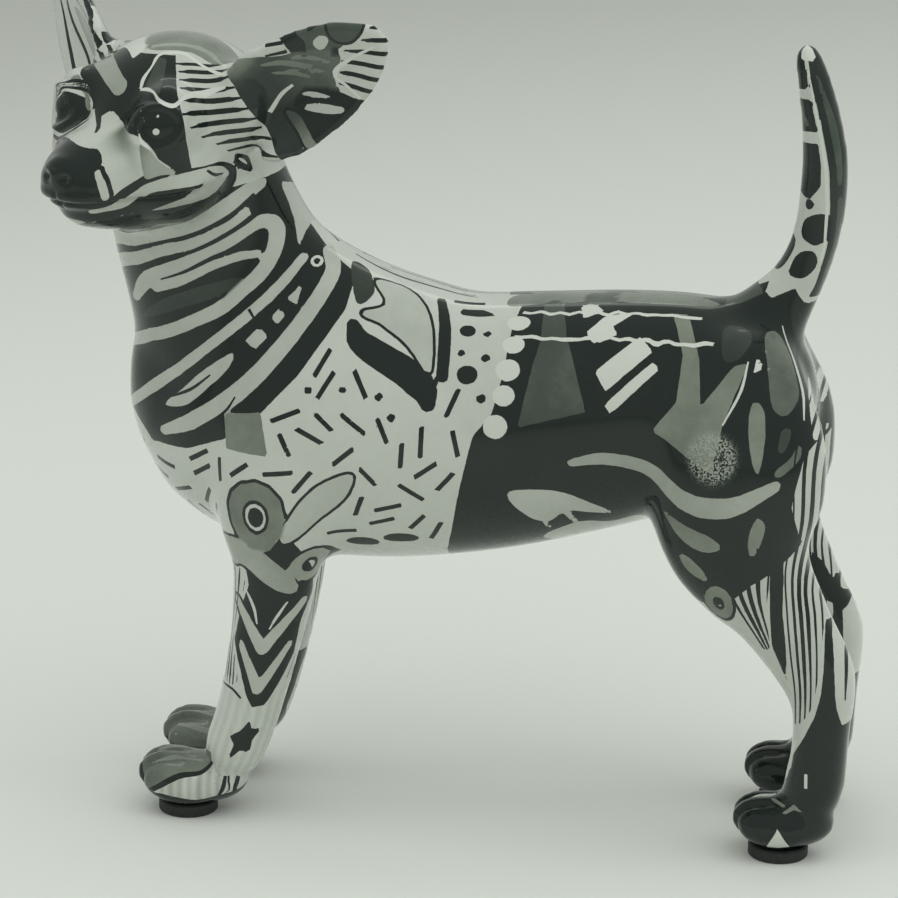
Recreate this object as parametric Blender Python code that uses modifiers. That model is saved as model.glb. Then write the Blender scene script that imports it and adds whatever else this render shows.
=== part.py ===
"""Standing chihuahua figurine: one resin casting of the whole dog, on four round rubber pads.

The dog stands along -X with its head turned to its own left (-Y). Sizes below are in millimetres, and
MM turns them into Blender's metres. Its forms are laid out about the body's own mid-plane, Y = 0. At
the end everything moves by MIDDLE, so that the origin is the middle of the figure's overall box, on
the ground.

The casting is blocked out as a sculptor would: lofted tubes and ellipsoids overlap, a voxel remesh
fuses them, smoothing rounds the joints, and a second pass adds what has to stay crisp.
"""

from math import cos, pi, radians, sin, sqrt

import bmesh
import bpy
from mathutils import Matrix, Vector

MM = 0.001
MIDDLE = Vector((-1.1, -4.4, 0.0))

PAD_RADIUS = 5.5
PAD_HEIGHT = 2.4
PAD_EDGE = 0.3
PAD_SIDES = 32
PAD_GAP = 0.3
SOLE = PAD_HEIGHT + PAD_GAP

FRONT_STANCE = 11.0
REAR_STANCE = 13.2
FRONT_PAD_X = -46.5
REAR_PAD_X = 64.0
FRONT_PAW = (-35.0, 21.0)
REAR_PAW = (74.6, 19.9)
TOE_RADIUS = 2.6

SKULL_AT = (-49.4, -6.2, 131.6)
HEAD_YAW = 58.0
EAR_WIDTH = 20.6
EAR_CUP = 5.0
EAR_THICKNESS = 2.4

SOFT_VOXEL = 1.0
SOFT_STEPS = 40
DRAW = 0.125 * SOFT_STEPS * SOFT_VOXEL**2
CRISP_VOXEL = 0.9
CRISP_STEPS = 5
CASTING_TRIANGLES = 8600

LACQUER_GREY = (0.30, 0.33, 0.31, 1.0)
LACQUER_ROUGHNESS = 0.12
RUBBER_BLACK = (0.018, 0.022, 0.020, 1.0)
RUBBER_ROUGHNESS = 0.65


def clear_scene():
    for obj in list(bpy.data.objects):
        bpy.data.objects.remove(obj)


def mesh_object(name, bm):
    mesh = bpy.data.meshes.new(name)
    bmesh.ops.recalc_face_normals(bm, faces=bm.faces)
    bm.to_mesh(mesh)
    bm.free()
    obj = bpy.data.objects.new(name, mesh)
    bpy.context.scene.collection.objects.link(obj)
    return obj


def catmull_rom(before, start, end, after, t):
    """The point a share t of the way from start to end, on a curve that runs through all four."""
    linear = end - before
    square = 2 * before - 5 * start + 4 * end - after
    cube = 3 * start - before - 3 * end + after
    return 0.5 * (2 * start + linear * t + square * t**2 + cube * t**3)


def smooth_path(stations, steps):
    """Rows through the stations, every column on its own smooth curve, with steps rows in each span."""
    rows = [tuple(2 * a - b for a, b in zip(stations[0], stations[1]))]
    rows += stations
    rows.append(tuple(2 * a - b for a, b in zip(stations[-1], stations[-2])))
    path = []
    for before, start, end, after in zip(rows, rows[1:], rows[2:], rows[3:]):
        for step in range(steps):
            t = step / steps
            path.append(tuple(catmull_rom(*column, t) for column in zip(before, start, end, after)))
    path.append(stations[-1])
    return path


def tube(stations, steps=4, segments=28, domes=(1.0, 1.0)):
    """A closed loft. A station is x, y, z, half width across the dog, half depth the other way.

    Rounding draws a limb in by about DRAW / radius, so the loft is that much fatter. The ends are domed.
    """
    side = Vector((0, 1, 0))
    rows = smooth_path(stations, steps)
    centres = [Vector(row[:3]) for row in rows]
    rings = []
    for i, row in enumerate(rows):
        along = (centres[min(i + 1, len(rows) - 1)] - centres[max(i - 1, 0)]).normalized()
        across = (side - along * along.dot(side)).normalized()
        width, depth = ((r + sqrt(r * r + 4 * DRAW)) / 2 for r in row[3:])
        rings.append((centres[i], along, across, width, depth))
    tilts = [radians(a) for a in (75, 50, 25)]
    ends = [(rings[0], -domes[0], tilt) for tilt in tilts]
    ends += [(ring, 0.0, 0.0) for ring in rings]
    ends += [(rings[-1], domes[1], tilt) for tilt in reversed(tilts)]
    angles = [2 * pi * k / segments for k in range(segments)]
    bm = bmesh.new()
    loops = []
    for (centre, along, across, width, depth), dome, tilt in ends:
        middle = centre + along * dome * min(width, depth) * sin(tilt)
        wide = across * width * cos(tilt)
        deep = along.cross(across) * depth * cos(tilt)
        loops.append([bm.verts.new((middle + wide * cos(a) + deep * sin(a)) * MM) for a in angles])
    for lower, upper in zip(loops, loops[1:]):
        for k in range(segments):
            j = (k + 1) % segments
            bm.faces.new((lower[k], lower[j], upper[j], upper[k]))
    bm.faces.new(loops[0])
    bm.faces.new(reversed(loops[-1]))
    return mesh_object("tube", bm)


def ellipsoid(centre, radii, pitch=0.0):
    """A sphere stretched to its three half axes, then pitched about Y."""
    bm = bmesh.new()
    turn = Matrix.Rotation(radians(pitch), 4, "Y")
    place = Matrix.Translation(Vector(centre) * MM) @ turn @ Matrix.Diagonal((*[r * MM for r in radii], 1))
    bmesh.ops.create_uvsphere(bm, u_segments=28, v_segments=18, radius=1, matrix=place)
    return mesh_object("ellipsoid", bm)


def pair(obj):
    """The piece and its mirror image on the other side of its mid-plane."""
    twin = bpy.data.objects.new(obj.name, obj.data.copy())
    twin.data.transform(Matrix.Diagonal((1, -1, 1, 1)))
    twin.data.flip_normals()
    bpy.context.scene.collection.objects.link(twin)
    return [obj, twin]


def fuse(name, pieces, voxel, steps):
    """Joins overlapping closed pieces into one skin and rounds the creases between them."""
    bm = bmesh.new()
    for piece in pieces:
        bm.from_mesh(piece.data)
        bpy.data.objects.remove(piece)
    obj = mesh_object(name, bm)
    remesh = obj.modifiers.new("Fuse", "REMESH")
    remesh.mode = "VOXEL"
    remesh.voxel_size = voxel * MM
    smooth = obj.modifiers.new("Round", "SMOOTH")
    smooth.factor = 0.5
    smooth.iterations = steps
    return baked(obj)


def baked(obj):
    """The object as its modifiers leave it, with none left on it."""
    graph = bpy.context.evaluated_depsgraph_get()
    mesh = bpy.data.meshes.new_from_object(obj.evaluated_get(graph))
    name = obj.name
    bpy.data.objects.remove(obj)
    made = bpy.data.objects.new(name, mesh)
    bpy.context.scene.collection.objects.link(made)
    return made


def trunk():
    torso = tube([
        (-49.0, 0, 80.5, 12.0, 15.5),
        (-42.0, 0, 78.0, 17.0, 22.5),
        (-29.0, 0, 76.5, 20.5, 26.5),
        (-12.0, 0, 75.0, 21.0, 26.2),
        (4.0, 0, 75.2, 20.5, 24.2),
        (20.0, 0, 77.7, 19.5, 22.8),
        (36.0, 0, 80.6, 18.5, 20.9),
        (50.0, 0, 82.0, 16.5, 18.8),
        (59.0, 0, 82.0, 12.0, 14.0),
    ], domes=(0.6, 0.7))
    keel = tube([
        (-47.0, 0, 86, 11, 12),
        (-46.0, 0, 76, 11, 13),
        (-39.0, 0, 66, 11, 13),
        (-29.0, 0, 61, 11, 11),
    ])
    neck = tube([
        (-31.0, 0, 80, 18, 24),
        (-37.5, 0, 93, 16, 21.3),
        (-42.2, -1, 104, 14, 18.6),
        (-45.4, -3, 114, 13, 17.2),
        (-47.4, -5, 124, 12.5, 15.5),
    ])
    withers = tube([
        (-38.0, -2, 113, 9.0, 8.5),
        (-30.0, -1, 102, 11.5, 10.0),
        (-17.0, 0, 93, 14.0, 11.5),
        (-2.0, 0, 87.5, 16.0, 12.5),
    ])
    return [torso, keel, neck, withers, tail()]


def tail():
    """Carried upright, thick where it leaves the rump and bent forwards at its tip."""
    return tube([
        (53.0, 0, 92, 7.5, 8),
        (58.5, 0, 99, 6.2, 6.2),
        (62.8, 0, 105.5, 4.4, 4.2),
        (65.4, 0, 112.5, 3.9, 3.7),
        (66.5, 0, 120, 3.8, 3.8),
        (66.7, 0, 127, 3.6, 3.6),
        (65.7, 0, 134.5, 3.0, 2.9),
        (64.0, 0, 141, 2.2, 2.1),
        (62.9, 0, 145.5, 1.3, 1.2),
    ])


def front_leg(side, lean):
    """A foreleg, from the shoulder blade to the wrist. Its elbow is set back by lean."""
    y = FRONT_STANCE
    shoulder = tube([
        (-24.0, side * y, 88, 6, 9),
        (-28.5, side * (y + 2.0), 77, 8, 11.5),
        (-30.0, side * (y + 3.0), 66, 8, 11),
        (-30.5, side * (y + 2.0), 56, 7.5, 9.0),
    ])
    foreleg = tube([
        (-31.0 + lean, side * (y + 1.5), 59, 7.2, 8.6),
        (-31.0 + lean, side * (y + 1.0), 50, 6.9, 7.7),
        (-31.5 + 0.7 * lean, side * y, 42, 6.3, 7.0),
        (-32.3 + 0.4 * lean, side * y, 35, 5.9, 6.3),
        (-33.6 + 0.2 * lean, side * y, 27.5, 5.7, 5.8),
        (-35.3, side * y, 19.5, 5.7, 5.4),
        (-37.6, side * y, 13, 6.0, 5.4),
    ])
    return [shoulder, foreleg]


def hind_legs():
    """Both hind legs, from the hip down to the ankle, with the point of the hock behind."""
    y = -REAR_STANCE
    thigh = tube([
        (54.0, y + 4.0, 90, 8, 10.5),
        (54.4, y + 1.0, 79, 10, 15.2),
        (54.0, y - 0.5, 67, 10, 15.8),
        (54.9, y - 0.5, 59, 9, 13.5),
        (57.9, y, 52, 7.8, 10.4),
    ])
    shank = tube([
        (59.8, y, 51, 7.4, 9.4),
        (64.2, y, 44.5, 6.6, 7.9),
        (68.2, y, 37.5, 5.7, 6.6),
        (70.9, y, 31, 5.2, 5.4),
        (71.0, y, 25, 5.2, 4.8),
        (70.7, y, 19, 5.4, 4.7),
        (69.9, y, 13, 6.0, 5.4),
    ])
    hock = tube([
        (70.5, y, 41, 3.5, 3.5),
        (72.9, y, 35, 4, 3.5),
        (72.2, y, 29, 4.5, 3.8),
    ])
    return pair(thigh) + pair(shank) + pair(hock)


def paw(heel_x, length, y):
    """Four toes side by side ahead of a broad pad, the outer two shorter and lower."""
    pieces = [ellipsoid((heel_x - 0.44 * length, y, SOLE + 4.0), (0.44 * length, 6.4, 4.8))]
    for across, reach, height in ((-4.9, 0.92, 3.7), (-1.75, 1.0, 4.5), (1.75, 1.0, 4.5), (4.9, 0.92, 3.7)):
        half = 0.34 * length
        tip = heel_x - reach * length
        radii = (half, TOE_RADIUS, height + 0.2)
        pieces.append(ellipsoid((tip + half, y + across, SOLE + height), radii, pitch=6))
    return pieces


def in_head(pieces):
    """Turns pieces modelled round the middle of the skull, looking along -X, to where the head looks."""
    place = Matrix.Translation(Vector(SKULL_AT) * MM) @ Matrix.Rotation(radians(HEAD_YAW), 4, "Z")
    for piece in pieces:
        piece.data.transform(place)
    return pieces


def head_forms():
    """The apple-shaped skull, the cheeks and eye sockets, and the short wedge of the muzzle."""
    skull = ellipsoid((0, 0, -0.7), (18.5, 17.5, 15.7))
    nape = ellipsoid((6, 0, -6), (15, 15.5, 13))
    cheek = ellipsoid((-9, -8, -8), (11, 8.5, 9.5))
    socket = ellipsoid((-13.2, -10.6, 2.2), (6.0, 6.2, 7.5))
    under_eye = ellipsoid((-16.0, -8.6, -4.2), (6.5, 5.0, 6.0))
    ear_root = ellipsoid((0.5, -15.0, 3.5), (6.5, 6.0, 8.5))
    muzzle = tube([
        (-12, 0, -6.0, 10.5, 9.5),
        (-18, 0, -6.8, 9.2, 8.2),
        (-23.5, 0, -7.8, 8.0, 6.8),
        (-27.0, 0, -8.6, 6.8, 5.6),
    ], domes=(1.0, 0.7))
    jaw = tube([
        (2, 0, -12.5, 9.5, 6.5),
        (-8, 0, -13.2, 8.5, 6.0),
        (-17, 0, -13.2, 6.6, 4.6),
        (-24, 0, -12.8, 4.6, 3.0),
    ])
    return [skull, nape, muzzle, jaw, *pair(cheek), *pair(socket), *pair(under_eye), *pair(ear_root)]


def ears():
    """Two leaves cupped forwards, broad at the root and pointed at the tip."""
    root = Vector((-3.3, -18.3, 1.2))
    tip = Vector((9.7, -40.8, 18.6))
    opening = Vector((-0.88, -0.475, 0.05))
    axis = tip - root
    length = axis.length
    axis.normalize()
    face = (opening - axis * axis.dot(opening)).normalized()
    side = axis.cross(face)
    across, along = 16, 20
    bm = bmesh.new()
    rows = []
    for i in range(along + 1):
        t = i / along
        taper = (1 - min(t, 0.995) ** 3) ** 0.6 * (0.7 + 0.3 * min(1, t / 0.2))
        cup = EAR_CUP * (1 - t) + 1.0
        row = []
        for k in range(across + 1):
            v = 2 * k / across - 1
            point = root + axis * length * t + side * EAR_WIDTH / 2 * taper * v - face * cup * (1 - v * v)
            row.append(bm.verts.new(point * MM))
        rows.append(row)
    for lower, upper in zip(rows, rows[1:]):
        for k in range(across):
            bm.faces.new((lower[k], lower[k + 1], upper[k + 1], upper[k]))
    leaf = mesh_object("ear", bm)
    thick = leaf.modifiers.new("Thick", "SOLIDIFY")
    thick.thickness = EAR_THICKNESS * MM
    thick.offset = 0
    return pair(baked(leaf))


def face_forms():
    """The nose and the eyeballs, which stand a little out of the head."""
    nose = ellipsoid((-28.9, 0, -6.2), (2.8, 4.2, 3.4))
    eye = ellipsoid((-14.9, -9.9, 2.0), (4.8, 4.8, 4.6))
    return [nose, *pair(eye)]


def cut_soles(obj):
    """Cuts the paws off flat, a hair above the pads."""
    bm = bmesh.new()
    bm.from_mesh(obj.data)
    everything = bm.verts[:] + bm.edges[:] + bm.faces[:]
    cut = bmesh.ops.bisect_plane(
        bm, geom=everything, plane_co=(0, 0, SOLE * MM), plane_no=(0, 0, 1), clear_inner=True
    )
    rim = [edge for edge in cut["geom_cut"] if isinstance(edge, bmesh.types.BMEdge)]
    bmesh.ops.holes_fill(bm, edges=rim, sides=0)
    bmesh.ops.triangulate(bm, faces=bm.faces)
    bm.to_mesh(obj.data)
    bm.free()


def casting():
    """The whole dog as one closed skin of about CASTING_TRIANGLES faces."""
    soft = trunk() + in_head(head_forms()) + hind_legs()
    soft += front_leg(side=-1, lean=1.2) + front_leg(side=1, lean=-0.8)
    crisp = [fuse("body", soft, SOFT_VOXEL, SOFT_STEPS)]
    for side in (-1, 1):
        crisp += paw(*FRONT_PAW, side * FRONT_STANCE)
        crisp += paw(*REAR_PAW, side * REAR_STANCE)
    crisp += in_head(face_forms() + ears())
    dog = fuse("dog_figurine", crisp, CRISP_VOXEL, CRISP_STEPS)
    dog.data.calc_loop_triangles()
    thin = dog.modifiers.new("Thin", "DECIMATE")
    thin.ratio = CASTING_TRIANGLES / len(dog.data.loop_triangles)
    dog = baked(dog)
    cut_soles(dog)
    dog.data.shade_smooth()
    return dog


def pads():
    """Round rubber feet with a softened edge, one under each paw."""
    made = []
    for name, x, y in (("front", FRONT_PAD_X, FRONT_STANCE), ("rear", REAR_PAD_X, REAR_STANCE)):
        for side, way in (("left", -1), ("right", 1)):
            bpy.ops.mesh.primitive_cylinder_add(
                vertices=PAD_SIDES,
                radius=PAD_RADIUS * MM,
                depth=PAD_HEIGHT * MM,
                location=(x * MM, way * y * MM, PAD_HEIGHT / 2 * MM),
            )
            pad = bpy.context.object
            pad.name = f"pad_{name}_{side}"
            edge = pad.modifiers.new("Edge", "BEVEL")
            edge.width = PAD_EDGE * MM
            made.append(pad)
    return made


def material(name, colour, roughness):
    made = bpy.data.materials.new(name)
    made.use_nodes = True
    shader = made.node_tree.nodes["Principled BSDF"]
    shader.inputs["Base Color"].default_value = colour
    shader.inputs["Roughness"].default_value = roughness
    shader.inputs["Metallic"].default_value = 0.0
    return made


def main():
    clear_scene()
    dog = casting()
    dog.data.materials.append(material("lacquered_resin", LACQUER_GREY, LACQUER_ROUGHNESS))
    feet = pads()
    rubber = material("rubber", RUBBER_BLACK, RUBBER_ROUGHNESS)
    for pad in feet:
        pad.data.materials.append(rubber)
    figurine = bpy.data.collections.new("dog_figurine")
    bpy.context.scene.collection.children.link(figurine)
    for part in [dog, *feet]:
        part.location -= MIDDLE * MM
        for holder in list(part.users_collection):
            holder.objects.unlink(part)
        figurine.objects.link(part)


main()
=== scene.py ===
"""A standing chihuahua figurine in lacquered resin, printed all over in black, white and grey, on rubber pads."""

from copy import copy
from math import cos, pi, radians, sin, sqrt

import bpy
import numpy as np
from mathutils import Matrix, Vector


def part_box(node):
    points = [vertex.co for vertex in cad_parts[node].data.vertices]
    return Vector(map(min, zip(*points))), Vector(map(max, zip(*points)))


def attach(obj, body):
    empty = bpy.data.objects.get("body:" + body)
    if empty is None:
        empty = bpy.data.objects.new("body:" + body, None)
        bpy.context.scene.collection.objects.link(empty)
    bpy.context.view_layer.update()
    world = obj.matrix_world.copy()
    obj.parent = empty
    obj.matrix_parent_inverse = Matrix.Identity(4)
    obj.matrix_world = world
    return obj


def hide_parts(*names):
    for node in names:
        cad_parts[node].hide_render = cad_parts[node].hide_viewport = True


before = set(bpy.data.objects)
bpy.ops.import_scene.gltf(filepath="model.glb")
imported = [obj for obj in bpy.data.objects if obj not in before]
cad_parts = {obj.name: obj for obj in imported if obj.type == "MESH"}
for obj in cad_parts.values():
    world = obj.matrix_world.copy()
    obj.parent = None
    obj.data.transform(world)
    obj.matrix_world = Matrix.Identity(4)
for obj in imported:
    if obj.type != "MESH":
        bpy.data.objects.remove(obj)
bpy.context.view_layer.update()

# ----------------------------------------------------------
# The figurine stands on pale seamless paper, with painted shade that darkens it towards the far left.
# Four soft boxes and a small bright lamp light it, and it is seen from its left side and a little above.
# Nothing in this section belongs to the figurine itself.
# ----------------------------------------------------------
MM = 0.001

front_low, front_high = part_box("pad_front_left")
other_low, other_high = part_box("pad_front_right")
FRONT_PAD_X = -46.5
MIDDLE = (front_low + front_high + other_low + other_high) / 4 / MM - Vector((FRONT_PAD_X, 0, 0))
MIDDLE.z = 0.0

CAMERA_AZIMUTH = radians(8.0)
CAMERA_ELEVATION = radians(17.0)
CAMERA_ROLL = radians(1.0)
CAMERA_DISTANCE = 0.8
CAMERA_TARGET = Vector((MIDDLE.x * MM, MIDDLE.y * MM, 0.0697))
SENSOR = 36.0
VIEW_WIDTH = 0.1648
LAMP_COLOUR = (0.97, 1.0, 0.96)
NEAR_PAPER, SHADED_FAR_PAPER = (0.800, 0.820, 0.785), (0.608, 0.623, 0.597)
FADE_FROM, FADE_TO, FADE_SLANT = 0.35, 1.15, 1.2

right = Vector((cos(CAMERA_AZIMUTH), sin(CAMERA_AZIMUTH), 0))
back = Vector((
    sin(CAMERA_AZIMUTH) * cos(CAMERA_ELEVATION),
    -cos(CAMERA_AZIMUTH) * cos(CAMERA_ELEVATION),
    sin(CAMERA_ELEVATION),
))
up = back.cross(right)
rolled_right = right * cos(CAMERA_ROLL) + up * sin(CAMERA_ROLL)
rolled_up = up * cos(CAMERA_ROLL) - right * sin(CAMERA_ROLL)

bpy.ops.object.camera_add()
camera = bpy.context.object
camera.name = "camera"
camera.data.sensor_width = SENSOR
camera.data.lens = SENSOR * CAMERA_DISTANCE / VIEW_WIDTH
camera.data.clip_start = 0.05
camera.matrix_world = Matrix((
    (rolled_right.x, rolled_up.x, back.x, CAMERA_TARGET.x + back.x * CAMERA_DISTANCE),
    (rolled_right.y, rolled_up.y, back.y, CAMERA_TARGET.y + back.y * CAMERA_DISTANCE),
    (rolled_right.z, rolled_up.z, back.z, CAMERA_TARGET.z + back.z * CAMERA_DISTANCE),
    (0, 0, 0, 1),
))
bpy.context.scene.camera = camera


def deselect_all():
    """Nothing is selected or active, so the next operator acts only on what it adds."""
    if bpy.context.object and bpy.context.object.mode != "OBJECT":
        bpy.ops.object.mode_set(mode="OBJECT")
    bpy.ops.object.select_all(action="DESELECT")


class Socket:
    """A node's output or a number, on which sums add Math nodes."""

    tree = None

    def __init__(self, value):
        self.value = value

    def math(self, operation, *others):
        """Any other Math node, on this value and the others."""
        node = self.tree.nodes.new("ShaderNodeMath")
        node.operation = operation
        for place, item in zip(node.inputs, (self, *others)):
            item = item.value if isinstance(item, Socket) else item
            if isinstance(item, (int, float)):
                place.default_value = item
            else:
                self.tree.links.new(item, place)
        return Socket(node.outputs[0])

    def __add__(self, other):
        return self.math("ADD", other)

    __radd__ = __add__

    def __mul__(self, other):
        return self.math("MULTIPLY", other)

    __rmul__ = __mul__

    def __sub__(self, other):
        return self.math("SUBTRACT", other)

    def __rsub__(self, other):
        return Socket(other).math("SUBTRACT", self)

    def __lt__(self, other):
        return self.math("LESS_THAN", other)

    def blend(self, under, over):
        """Under where this mask is 0 and over where it is 1."""
        return under + self * (over - under)


def node(kind, settings=None, **inputs):
    """A node with its settings made first and then its sockets, each by its name with _ for a space."""
    made = Socket.tree.nodes.new(kind)
    for key, value in (settings or {}).items():
        setattr(made, key, value)
    for key, value in inputs.items():
        place = made.inputs[key.replace("_", " ")]
        value = value.value if isinstance(value, Socket) else value
        if isinstance(value, bpy.types.NodeSocket):
            Socket.tree.links.new(value, place)
        else:
            place.default_value = value
    return made


def split(vector):
    parts = node("ShaderNodeSeparateXYZ", Vector=vector)
    return [Socket(output) for output in parts.outputs]


def attribute(name):
    return split(node("ShaderNodeAttribute", {"attribute_name": name}).outputs["Vector"])


def noise(coordinates, scale, detail=2.0, roughness=0.5):
    made = node("ShaderNodeTexNoise", Vector=coordinates, Scale=scale, Detail=detail, Roughness=roughness)
    return Socket(made.outputs["Fac"])


def new_material(name):
    made = bpy.data.materials.new(name)
    made.use_nodes = True
    Socket.tree = made.node_tree
    return made, made.node_tree.nodes["Principled BSDF"]


def link(output, place):
    Socket.tree.links.new(output.value if isinstance(output, Socket) else output, place)


def colour_by(amount, shader, *stops):
    """Colours a shader from a ramp of stops, each a place and its colour."""
    ramp = node("ShaderNodeValToRGB", Fac=amount)
    elements = ramp.color_ramp.elements
    while len(elements) < len(stops):
        elements.new(0.5)
    for element, (place, colour) in zip(elements, stops):
        element.position = place
        element.color = (*colour, 1.0)
    link(ramp.outputs["Color"], shader.inputs["Base Color"])


def soft_box(name, place, aim, size, watts, mirrored=False):
    """A rectangular area light at place, turned to face aim, which the lacquer mirrors or not."""
    bpy.ops.object.light_add(type="AREA", location=place)
    lamp = bpy.context.object
    lamp.name = name
    lamp.rotation_euler = (Vector(aim) - Vector(place)).to_track_quat("-Z", "Y").to_euler()
    lamp.data.shape = "RECTANGLE"
    lamp.data.size, lamp.data.size_y = size
    lamp.data.energy = watts
    lamp.data.color = LAMP_COLOUR
    lamp.visible_glossy = mirrored


deselect_all()
bpy.ops.mesh.primitive_plane_add(size=24.0, location=(0, 0, 0))
table = bpy.context.object
table.name = "table"
paper, shader = new_material("table_paper")
across, away, _ = split(node("ShaderNodeTexCoord").outputs["Object"])
# The paper is darkened towards the far left by painted shade, where the lamps' light falls off.
distance = away - FADE_SLANT * across
painted_paper_shade = node(
    "ShaderNodeMapRange", {"interpolation_type": "SMOOTHSTEP"}, Value=distance, From_Min=FADE_FROM, From_Max=FADE_TO
)
colour_by(painted_paper_shade.outputs["Result"], shader, (0.0, NEAR_PAPER), (1.0, SHADED_FAR_PAPER))
shader.inputs["Roughness"].default_value = 0.9
table.data.materials.append(paper)

soft_box("overhead", (0.08, -0.22, 0.80), (0, -0.05, 0.05), (1.2, 1.1), 3.95)
soft_box("left", (-0.95, -0.10, 0.55), (0, 0, 0.05), (0.6, 0.5), 0.55)
soft_box("right", (1.05, -0.05, 0.60), (0, 0, 0.05), (0.7, 0.6), 1.7)
soft_box("behind", (0.05, 0.60, 0.80), (0, 0, 0.10), (0.9, 0.11), 0.38, mirrored=True)
soft_box("spark", (-0.80, -0.25, 0.35), (-0.05, 0, 0.10), (0.03, 0.03), 0.07, mirrored=True)

world = bpy.data.worlds.new("studio")
bpy.context.scene.world = world
world.use_nodes = True
sky = world.node_tree.nodes["Background"].inputs
sky["Color"].default_value = (0.83, 0.86, 0.81, 1.0)
sky["Strength"].default_value = 0.54
bpy.context.scene.view_settings.view_transform = "Standard"

# ----------------------------------------------------------
# The dog is one solid resin casting, taken from a modelled master: lofted limbs and swelling forms run
# into each other, then the face, the ears and the toes are worked up with more care. Sizes are in
# millimetres about the dog's own mid-plane, and its chest faces -X.
# ----------------------------------------------------------
SOLE = 2.7
FRONT_STANCE = 11.0
REAR_STANCE = 13.2
FRONT_PAW = (-35, 21)
REAR_PAW = (74.6, 19.9)
TOE_RADIUS = 2.6
SKULL_AT = Vector((-49.4, -6.2, 131.6))
HEAD_YAW = radians(58)
EAR_ROOT = Vector((-3.3, -18.3, 1.2))
EAR_TIP = Vector((9.7, -40.8, 18.6))
EAR_OPENING = Vector((-0.88, -0.475, 0.05))
EAR_WIDTH = 20.6
EAR_CUP = 5.0
EAR_THICKNESS = 2.4
SOFT_VOXEL = 1.0
SOFT_STEPS = 40
DRAW = 0.125 * SOFT_STEPS * SOFT_VOXEL**2
CRISP_VOXEL = 0.88
CRISP_STEPS = 6
SPAN_STEPS = 4
SEGMENTS = 28
DOME_TILTS = (75, 50, 25)
ACROSS = Vector((0, 1, 0))
SIDES = (-1, 1)


def catmull_rom(before, start, end, after, t):
    """The point a share t of the way from start to end, on a curve that runs through all four."""
    linear = end - before
    square = 2 * before - 5 * start + 4 * end - after
    cube = 3 * start - before - 3 * end + after
    return 0.5 * (2 * start + linear * t + square * t**2 + cube * t**3)


def smooth_path(rows, steps=SPAN_STEPS):
    """Rows through the given ones, every column on its own smooth curve, with steps rows in each span."""
    rows = np.vstack([2 * rows[0] - rows[1], rows, 2 * rows[-1] - rows[-2]])
    path = [catmull_rom(*rows[i : i + 4], step / steps) for i in range(len(rows) - 3) for step in range(steps)]
    return np.array([*path, rows[-2]])


def tube(stations, domes=(1, 1)):
    """A closed loft. A station is x, y, z, half width across the dog, half depth the other way.

    Rounding draws a limb in by about DRAW / radius, so the loft is that much fatter. The ends are domed.
    """
    rows = smooth_path(np.array(stations, float))
    centres = [Vector(row[:3]) for row in rows]
    rings = []
    for i, row in enumerate(rows):
        along = (centres[min(i + 1, len(rows) - 1)] - centres[max(i - 1, 0)]).normalized()
        across = (ACROSS - along * along.dot(ACROSS)).normalized()
        width, depth = ((r + sqrt(r * r + 4 * DRAW)) / 2 for r in row[3:])
        rings.append((centres[i], along, across, width, depth))
    tilts = [radians(a) for a in DOME_TILTS]
    ends = [(rings[0], -domes[0], tilt) for tilt in tilts]
    ends += [(ring, 0, 0) for ring in rings]
    ends += [(rings[-1], domes[1], tilt) for tilt in reversed(tilts)]
    angles = [2 * pi * k / SEGMENTS for k in range(SEGMENTS)]
    points, faces = [], []
    for (centre, along, across, width, depth), dome, tilt in ends:
        middle = centre + along * dome * min(width, depth) * sin(tilt)
        wide = across * width * cos(tilt)
        deep = along.cross(across) * depth * cos(tilt)
        points += [(middle + wide * cos(a) + deep * sin(a)) * MM for a in angles]
    for ring in range(len(ends) - 1):
        low, high = ring * SEGMENTS, (ring + 1) * SEGMENTS
        for k in range(SEGMENTS):
            j = (k + 1) % SEGMENTS
            faces.append((low + k, low + j, high + j, high + k))
    faces.append(tuple(range(SEGMENTS))[::-1])
    faces.append(tuple(range(len(points) - SEGMENTS, len(points))))
    mesh = bpy.data.meshes.new("limb")
    mesh.from_pydata(points, [], faces)
    limb = bpy.data.objects.new("limb", mesh)
    bpy.context.scene.collection.objects.link(limb)
    return limb


def swelling(centre, radii, pitch=0.0):
    """A ball stretched to its three half axes and pitched about Y."""
    deselect_all()
    bpy.ops.mesh.primitive_uv_sphere_add(
        segments=SEGMENTS,
        ring_count=18,
        radius=1,
        location=Vector(centre) * MM,
        rotation=(0, radians(pitch), 0),
        scale=Vector(radii) * MM,
    )
    return bpy.context.object


def both_sides(centre, radii):
    """A swelling and its mirror image across the dog."""
    x, y, z = centre
    return [swelling((x, y, z), radii), swelling((x, -y, z), radii)]


def joined(name, pieces):
    """The pieces as one mesh with its place applied, its faces pointing out."""
    deselect_all()
    for piece in pieces:
        piece.select_set(True)
    bpy.context.view_layer.objects.active = pieces[0]
    if len(pieces) > 1:
        bpy.ops.object.join()
    bpy.ops.object.transform_apply(location=True, rotation=True, scale=True)
    bpy.ops.object.mode_set(mode="EDIT")
    bpy.ops.mesh.select_all(action="SELECT")
    bpy.ops.mesh.normals_make_consistent(inside=False)
    bpy.ops.object.mode_set(mode="OBJECT")
    bpy.context.object.name = name
    return bpy.context.object


def apply_modifier(piece, kind, **settings):
    modifier = piece.modifiers.new(kind.title(), kind)
    for key, value in settings.items():
        setattr(modifier, key, value)
    bpy.context.view_layer.objects.active = piece
    bpy.ops.object.modifier_apply(modifier=modifier.name)


def fused(name, pieces, voxel, steps):
    """Overlapping closed pieces run into one skin, with the creases between them rounded."""
    piece = joined(name, pieces)
    apply_modifier(piece, "REMESH", mode="VOXEL", voxel_size=voxel * MM)
    apply_modifier(piece, "SMOOTH", factor=0.5, iterations=steps)
    return piece


def mirrored(stations):
    """A limb's stations on the other side of the dog."""
    return [(x, -y, z, wide, deep) for x, y, z, wide, deep in stations]


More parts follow.
